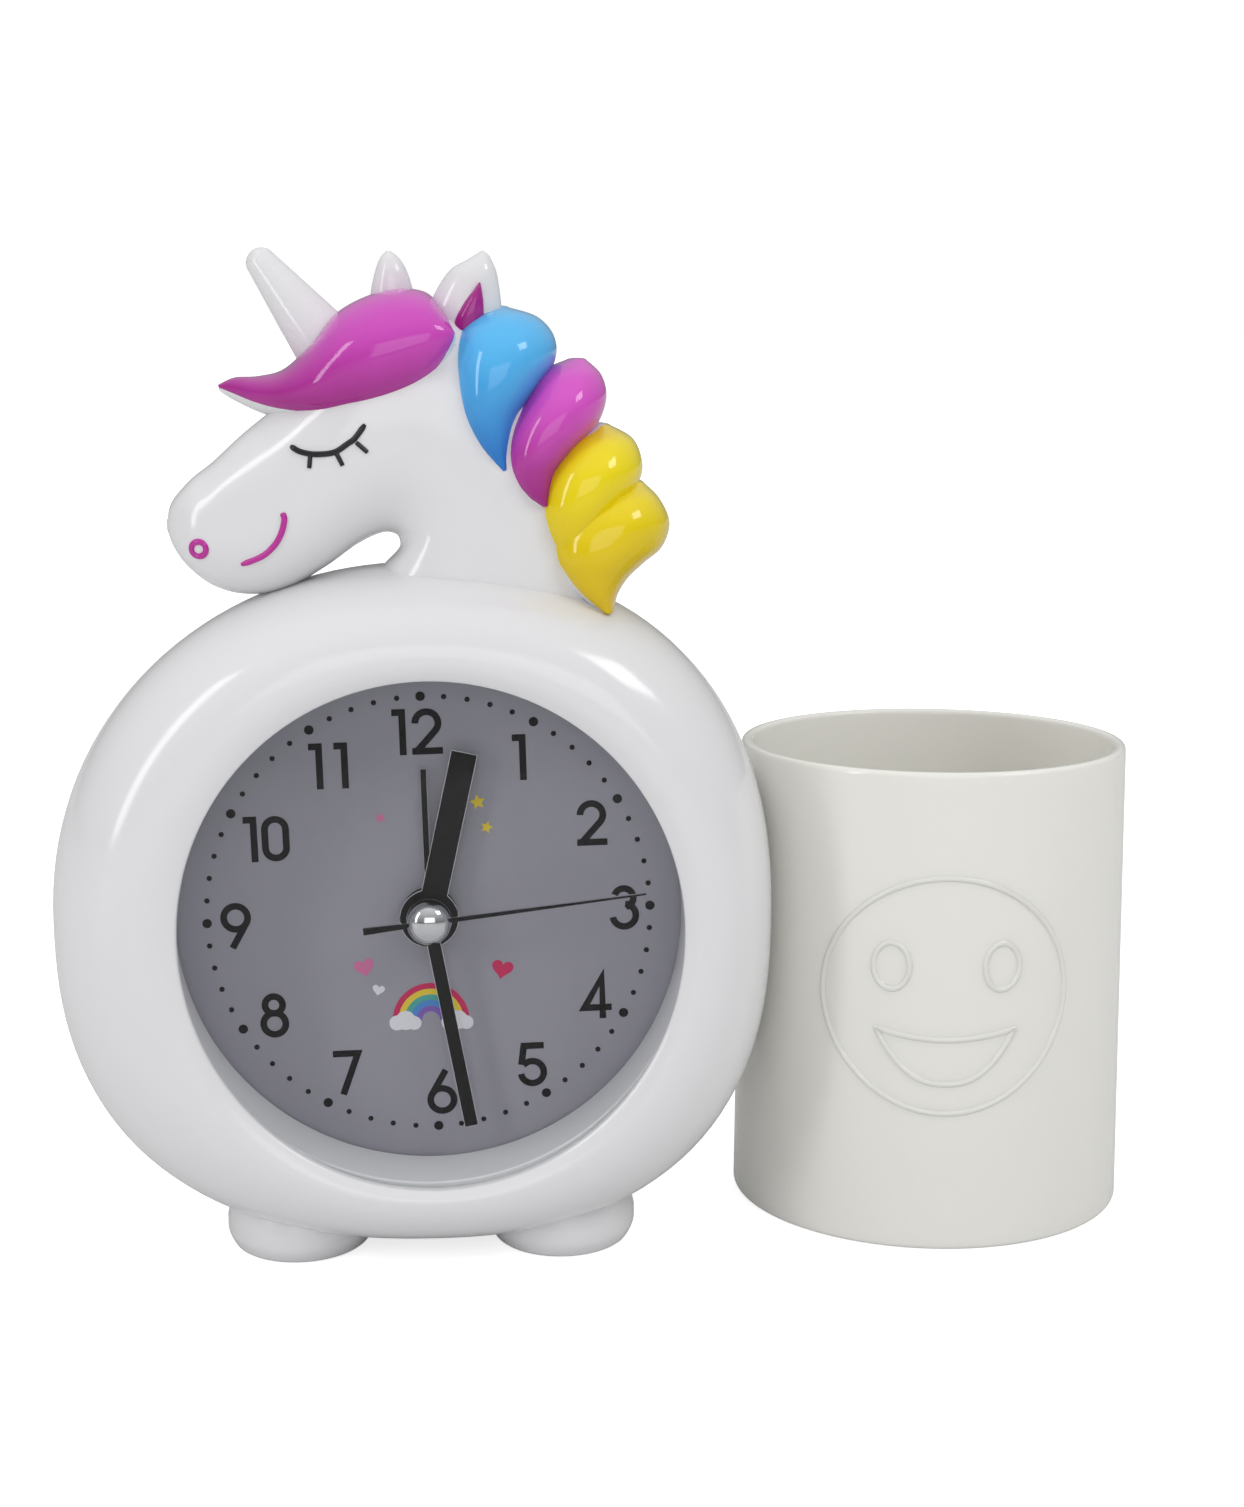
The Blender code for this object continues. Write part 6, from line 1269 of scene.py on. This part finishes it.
def printed(name, shapes, ink, angle=0.0, place=(0.0, 0.0), layer=0):
    """A film of ink on the dial, from shapes that are each an edge and its holes."""
    films = []
    for number, outlines in enumerate(shapes):
        shape = flat_piece("%s_shape_%d" % (name, number), outlines, INK_FILM)
        films.append(moved(shape, number % 3 * 0.008 * MM))
    lift = INK_FILM / 2 + (0.005 + 0.06 * layer) * MM
    turn = Matrix.Translation((*place, lift)) @ Matrix.Rotation(angle, 4, "Z")
    keep(name, joined(name, films), DIAL_PLACE @ turn, ink)


def clock_point(radius, minutes, tilt):
    return polar(radius, pi / 2 - tau * minutes / 60 + tilt)


def stroked(line, width):
    """A stroke's outlines: points bent at their corners, or an arc, at a constant width."""
    points = []
    for item in line:
        if item[0] != "arc":
            points.append(Vector(item))
            continue
        _, x, y, radius, start, end = item
        count = max(6, int(abs(end - start) / 7))
        points += [Vector(polar(radius, radians(start + (end - start) * k / count), (x, y)))
                   for k in range(count + 1)]
    closed = (points[0] - points[-1]).length < STROKE_CLOSED
    points = [p for k, p in enumerate(points) if k == 0 or (p - points[k - 1]).length > STROKE_POINT]
    if closed and (points[0] - points[-1]).length < STROKE_CLOSED:
        points.pop()
    left, right = [], []
    for k, point in enumerate(points):
        before = points[k - 1] if closed or k else None
        after = points[(k + 1) % len(points)] if closed or k + 1 < len(points) else None
        first = (point - before).normalized() if before else (after - point).normalized()
        second = (after - point).normalized() if after else first
        normal = Vector((-first.y - second.y, first.x + second.x)).normalized()
        reach = width / 2 / max(normal.dot(Vector((-first.y, first.x))), MITRE)
        left.append(tuple(point + normal * reach))
        right.append(tuple(point - normal * reach))
    return [left, right] if closed else [left + right[::-1]]


def make_numerals(sizes):
    """The circle of dots and the twelve numerals."""
    dots = []
    for minute in range(60):
        radius = MINUTE_DOT if minute % 5 else HOUR_DOT
        dots.append([circle(radius, 20, clock_point(sizes.dots, minute, sizes.tilt))])
    printed("dial_dots", dots, "black_ink")
    for hour, (x, y) in enumerate(NUMERALS_MM, 1):
        shapes = []
        for digit, shift in zip(str(hour), DIGIT_PLACES_SHARES[hour]):
            for line in DIGIT_SHARES[digit]:
                shifted = [(item[0], item[1] + shift, *item[2:]) if item[0] == "arc" else (item[0] + shift, item[1])
                           for item in line]
                shapes.append([[(px * sizes.numerals, (py - 0.5) * sizes.numerals) for px, py in outline]
                               for outline in stroked(shifted, sizes.stroke / sizes.numerals)])
        printed("numeral_%d" % hour, shapes, "black_ink", sizes.tilt, (x * MM, y * MM))


def heart(size, x, y, lean=0.0):
    """A heart's outline, from the usual sum of sines."""
    points = []
    for k in range(40):
        t = tau * k / 40
        across = 16 * sin(t) ** 3 / 32 * size
        up = (13 * cos(t) - 5 * cos(2 * t) - 2 * cos(3 * t) - cos(4 * t)) / 32 * size
        points.append((x + across * cos(lean) - up * sin(lean), y + across * sin(lean) + up * cos(lean)))
    return points


def star(size, x, y, turn=0.0):
    """A five-pointed star's outline."""
    return [polar(size * (0.5, 0.24)[k % 2], turn + pi / 2 + k * pi / 5, (x, y)) for k in range(10)]


def arch(x, y, inner, outer):
    """Half a ring that stands on its two feet."""
    angles = [pi * k / 24 for k in range(25)]
    return [polar(outer, a, (x, y)) for a in angles] + [polar(inner, a, (x, y)) for a in angles[::-1]]


def cloud_outline(steps=60):
    """The line round overlapping discs, followed from the point between them."""
    points = []
    for angle in turns(steps):
        ray = Vector(polar(1.0, angle))
        reach = 0.0
        for radius, x, y in PUFFS_MM:
            along = ray.dot(Vector((x, y)))
            rest = radius ** 2 - x ** 2 - y ** 2 + along ** 2
            if rest >= 0:
                reach = max(reach, along + rest ** 0.5)
        points.append(tuple(ray * reach * MM))
    return points


def make_dial_motifs():
    """Small hearts, stars and a rainbow on its two clouds."""
    for name, outline, ink in (
        ("heart_rose", heart(3.3 * MM, -10.6 * MM, -8.6 * MM, 0.25), "rose_ink"),
        ("heart_small", heart(2.0 * MM, -8.4 * MM, -12.4 * MM, -0.2), "white_ink"),
        ("heart_red", heart(3.5 * MM, 11.6 * MM, -9.2 * MM, -0.2), "red_ink"),
        ("star_upper", star(2.6 * MM, 7.9 * MM, 18.3 * MM, 0.2), "yellow_ink"),
        ("star_lower", star(2.1 * MM, 9.3 * MM, 14.2 * MM, -0.3), "yellow_ink"),
        ("star_left", star(1.8 * MM, -7.6 * MM, 15.9 * MM, 0.5), "rose_ink"),
    ):
        printed(name, [[outline]], ink)
    for number, ink in enumerate(("red_ink", "yellow_ink", "green_ink", "blue_ink", "violet_ink")):
        outer = (RAINBOW_MM - BAND_MM * number) * MM
        printed("rainbow_band_%d" % (number + 1), [[arch(0.0, RAINBOW_UP, outer - BAND_MM * MM, outer)]], ink)
    for side, word in ((-1, "left"), (1, "right")):
        outline = [(x + side * CLOUD_ASIDE, y + CLOUD_UP) for x, y in cloud_outline()]
        printed("cloud_" + word, [[outline]], "white_ink", layer=1)


# Hands
def hand_outline(length, width, boss_radius, tip_width=None, tail=0.0, tail_width=0.0, steps=48):
    """A baton with a round boss, pointing up, and with a tail if it has one."""
    half, tip = width / 2, (tip_width or width) / 2
    reach = boss_radius * cos(half / boss_radius)
    start, end = atan2(reach, -half), atan2(reach, half) + tau

    def boss(first, last, picked, count):
        return [polar(boss_radius, first + (last - first) * k / count) for k in picked]

    points = [(half, reach), (tip, length), (-tip, length), (-half, reach)]
    if not tail:
        return points + boss(start, end, range(1, steps), steps)
    down, lean, count = 1.5 * pi, half / boss_radius, steps // 2
    return (points + boss(start, down - lean, range(1, count + 1), count)
            + [(-tail_width / 2, -tail), (tail_width / 2, -tail)] + boss(down + lean, end, range(count), count))


def make_hands(tilt):
    """The hands in millimetres, each an aluminium blade with a film of black enamel, and the cap over them."""
    for node, body, angle, bore, height, edge, shape in (
        ("alarm_hand", "alarm_body", 0.0, 3.45, 0.9, 0.03, (24.0, 1.0, 4.4, None, 0.0, 0.0)),
        ("hour_hand", "hours", 14.0, 2.45, 2.3, 0.06, (27.5, 4.2, 4.7, None, 0.0, 0.0)),
        ("minute_hand", "minutes", 171.0, 1.60, 3.8, 0.06, (34.8, 2.2, 3.6, None, 0.0, 0.0)),
        ("second_hand", "seconds", 84.6, 0.75, SECOND_HAND_MM, 0.02, (34.8, 0.8, 2.6, 0.3, 10.5, 1.2)),
    ):
        sizes = [None if value is None else value * MM for value in shape]
        outline = hand_outline(*sizes)
        place = dial_at(z=height * MM + HAND_THICK / 2) @ Matrix.Rotation(tilt - radians(angle), 4, "Z")
        outlines = [outline, circle(bore * MM, 48)]
        mesh = flat_piece(node + "_blade", outlines, HAND_THICK)
        keep(node + "_blade", mesh, place, "cut_aluminium", body, nodes=(node,))
        dress(node, "black_enamel")
        mesh = flat_piece(node + "_enamel", outlines, ENAMEL_FILM, edge * MM)
        above = place @ Matrix.Translation((0.0, 0.0, (HAND_THICK + ENAMEL_FILM) / 2))
        keep(node + "_enamel", mesh, above, "black_enamel", body)
    base = SECOND_HAND_MM * MM + HAND_THICK + SEAM
    dome = [(HUB_RADIUS * sin(k / 16 * pi / 2), base + HUB_HEIGHT * cos(k / 16 * pi / 2)) for k in range(17)]
    keep("hub_dome", turned("hub_dome", dome + [(0.0, base)], 64), DIAL_PLACE, "chrome", "seconds",
         nodes=("hub_cap",))


# CAD nodes that stay in view
NODE_FINISHES = {
    "black_abs": ("movement_front_case", "movement_rear_case", "switch_body"),
    "acetal": ("alarm_wheel", "hour_wheel", "centre_wheel", "motion_wheel", "third_wheel", "second_wheel",
               "fifth_wheel", "time_set_arbor", "alarm_set_arbor"),
    "zinc_steel": ("rotor", "stator", "contact_positive", "contact_negative"),
    "brass": ("buzzer",),
    "copper_wire": ("drive_coil",),
    "board_resin": ("circuit_board",),
}


def dress_nodes():
    for finish_name, nodes in NODE_FINISHES.items():
        for node in nodes:
            dress(node, finish_name)


# Stage
def facing(place, forward):
    """The place of a lamp or camera that looks forward from there."""
    return Matrix.Translation(place) @ forward.to_track_quat("-Z", "Y").to_matrix().to_4x4()


def softbox(name, place, width, height, watts):
    """An area lamp aimed at the clock."""
    lamp = bpy.data.lights.new(name, "AREA")
    lamp.shape = "RECTANGLE"
    lamp.size = width
    lamp.size_y = height
    lamp.energy = watts
    placed(name, lamp, facing(place, Vector(LAMP_AIM) - Vector(place)))


def make_stage(settings):
    scene = bpy.context.scene
    scene.view_settings.view_transform = "Standard"
    bm = bmesh.new()
    bmesh.ops.create_grid(bm, x_segments=1, y_segments=1, size=20.0)
    mesh = bpy.data.meshes.new("stage_floor")
    bm.to_mesh(mesh)
    bm.free()
    mesh.materials.append(finish("stage_paper"))
    floor = placed("stage_floor", mesh, Matrix.Identity(4))

    world = bpy.data.worlds.new("studio")
    scene.world = world
    world.use_nodes = True
    place = add(world, "ShaderNodeTexCoord").outputs["Generated"]
    split = add(world, "ShaderNodeSeparateXYZ", Vector=place)
    room = add(world, "ShaderNodeMapRange", Value=split.outputs["Z"], From_Min=0.0, From_Max=0.9,
               To_Min=settings.horizon, To_Max=settings.zenith)
    background = world.node_tree.nodes["Background"]
    fixed(background, Color=WHITE)
    link(world, ranged(world, seen_rays(world), room.outputs["Result"], 1.0), background, "Strength")

    softbox("right_softbox", (0.46, -0.34, 0.58), 0.26, 0.20, settings.key)
    softbox("left_strip", (-0.55, -0.40, 0.32), 0.10, 0.50, settings.left)
    softbox("front_light", (0.02, -0.85, 0.24), 0.60, 0.30, settings.front)

    level = cos(CAMERA_DIP)
    forward = Vector((-sin(CAMERA_TURN) * level, cos(CAMERA_TURN) * level, -sin(CAMERA_DIP)))
    camera = bpy.data.cameras.new("photo_camera")
    camera.sensor_fit = "AUTO"
    camera.sensor_width = SENSOR_MM
    camera.lens = FOCAL_PIXELS / PHOTO_HEIGHT * SENSOR_MM
    camera.clip_start = 0.01
    scene.camera = placed("photo_camera", camera, facing(CAMERA_PLACE, forward))


# Operators
class CLOCK_OT_body(bpy.types.Operator):
    """Makes the two shells of the body"""
    bl_idname = "clock.body"
    bl_label = "Body"

    def execute(self, context):
        make_body(context.scene.clock_body)
        return {"FINISHED"}


class CLOCK_OT_back(bpy.types.Operator):
    """Makes the back plate, its battery lid, knobs, switch and screws, and the cup's bracket"""
    bl_idname = "clock.back"
    bl_label = "Back"

    def execute(self, context):
        make_back_plate()
        make_battery_lid()
        make_knobs()
        make_switch()
        make_cell()
        make_screw_heads()
        make_bracket()
        return {"FINISHED"}


class CLOCK_OT_head(bpy.types.Operator):
    """Makes the head, its locks, ears and horn"""
    bl_idname = "clock.head"
    bl_label = "Head"

    def execute(self, context):
        sizes, parting = context.scene.clock_head, context.scene.clock_body.parting
        make_head(sizes, parting)
        make_locks(sizes, parting)
        make_ears_and_horn(sizes, parting)
        make_face(sizes, parting)
        return {"FINISHED"}


class CLOCK_OT_cup(bpy.types.Operator):
    """Makes the pen cup with its raised face, and the feet"""
    bl_idname = "clock.cup"
    bl_label = "Cup and Feet"

    def execute(self, context):
        make_cup(context.scene.clock_cup)
        make_feet()
        return {"FINISHED"}


class CLOCK_OT_dial(bpy.types.Operator):
    """Makes the lens, the spacer ring, the dial and its printing"""
    bl_idname = "clock.dial"
    bl_label = "Dial"

    def execute(self, context):
        make_window(context.scene.clock_body, context.scene.clock_dial)
        make_numerals(context.scene.clock_dial)
        make_dial_motifs()
        return {"FINISHED"}


class CLOCK_OT_hands(bpy.types.Operator):
    """Makes the four hands and the cap on their hub"""
    bl_idname = "clock.hands"
    bl_label = "Hands"

    def execute(self, context):
        make_hands(context.scene.clock_dial.tilt)
        return {"FINISHED"}


class CLOCK_OT_nodes(bpy.types.Operator):
    """Gives the frame's own nodes their finishes"""
    bl_idname = "clock.nodes"
    bl_label = "Movement and Fittings"

    def execute(self, context):
        dress_nodes()
        return {"FINISHED"}


class CLOCK_OT_stage(bpy.types.Operator):
    """Makes the floor, the lights and the camera"""
    bl_idname = "clock.stage"
    bl_label = "Stage"

    def execute(self, context):
        make_stage(context.scene.clock_stage)
        return {"FINISHED"}


class CLOCK_PT_sidebar(bpy.types.Panel):
    bl_label = "Pen Holder Clock"
    bl_idname = "CLOCK_PT_sidebar"
    bl_space_type = "VIEW_3D"
    bl_region_type = "UI"
    bl_category = "Clock"

    def draw(self, context):
        for operator in OPERATORS:
            self.layout.operator(operator.bl_idname)


GROUPS = {
    "clock_body": BodySizes,
    "clock_head": HeadSizes,
    "clock_dial": DialSizes,
    "clock_cup": CupSizes,
    "clock_colours": Colours,
    "clock_stage": StageSettings,
}
OPERATORS = (CLOCK_OT_body, CLOCK_OT_back, CLOCK_OT_head, CLOCK_OT_cup, CLOCK_OT_dial, CLOCK_OT_hands, CLOCK_OT_nodes,
             CLOCK_OT_stage)
CLASSES = (*GROUPS.values(), *OPERATORS, CLOCK_PT_sidebar)


def register():
    for item in CLASSES:
        bpy.utils.register_class(item)
    for name, group in GROUPS.items():
        setattr(bpy.types.Scene, name, PointerProperty(type=group))


def unregister():
    for name in GROUPS:
        delattr(bpy.types.Scene, name)
    for item in reversed(CLASSES):
        bpy.utils.unregister_class(item)


def main():
    register()
    for operator in OPERATORS:
        group, name = operator.bl_idname.split(".")
        getattr(getattr(bpy.ops, group), name)()


if __name__ == "__main__":
    main()
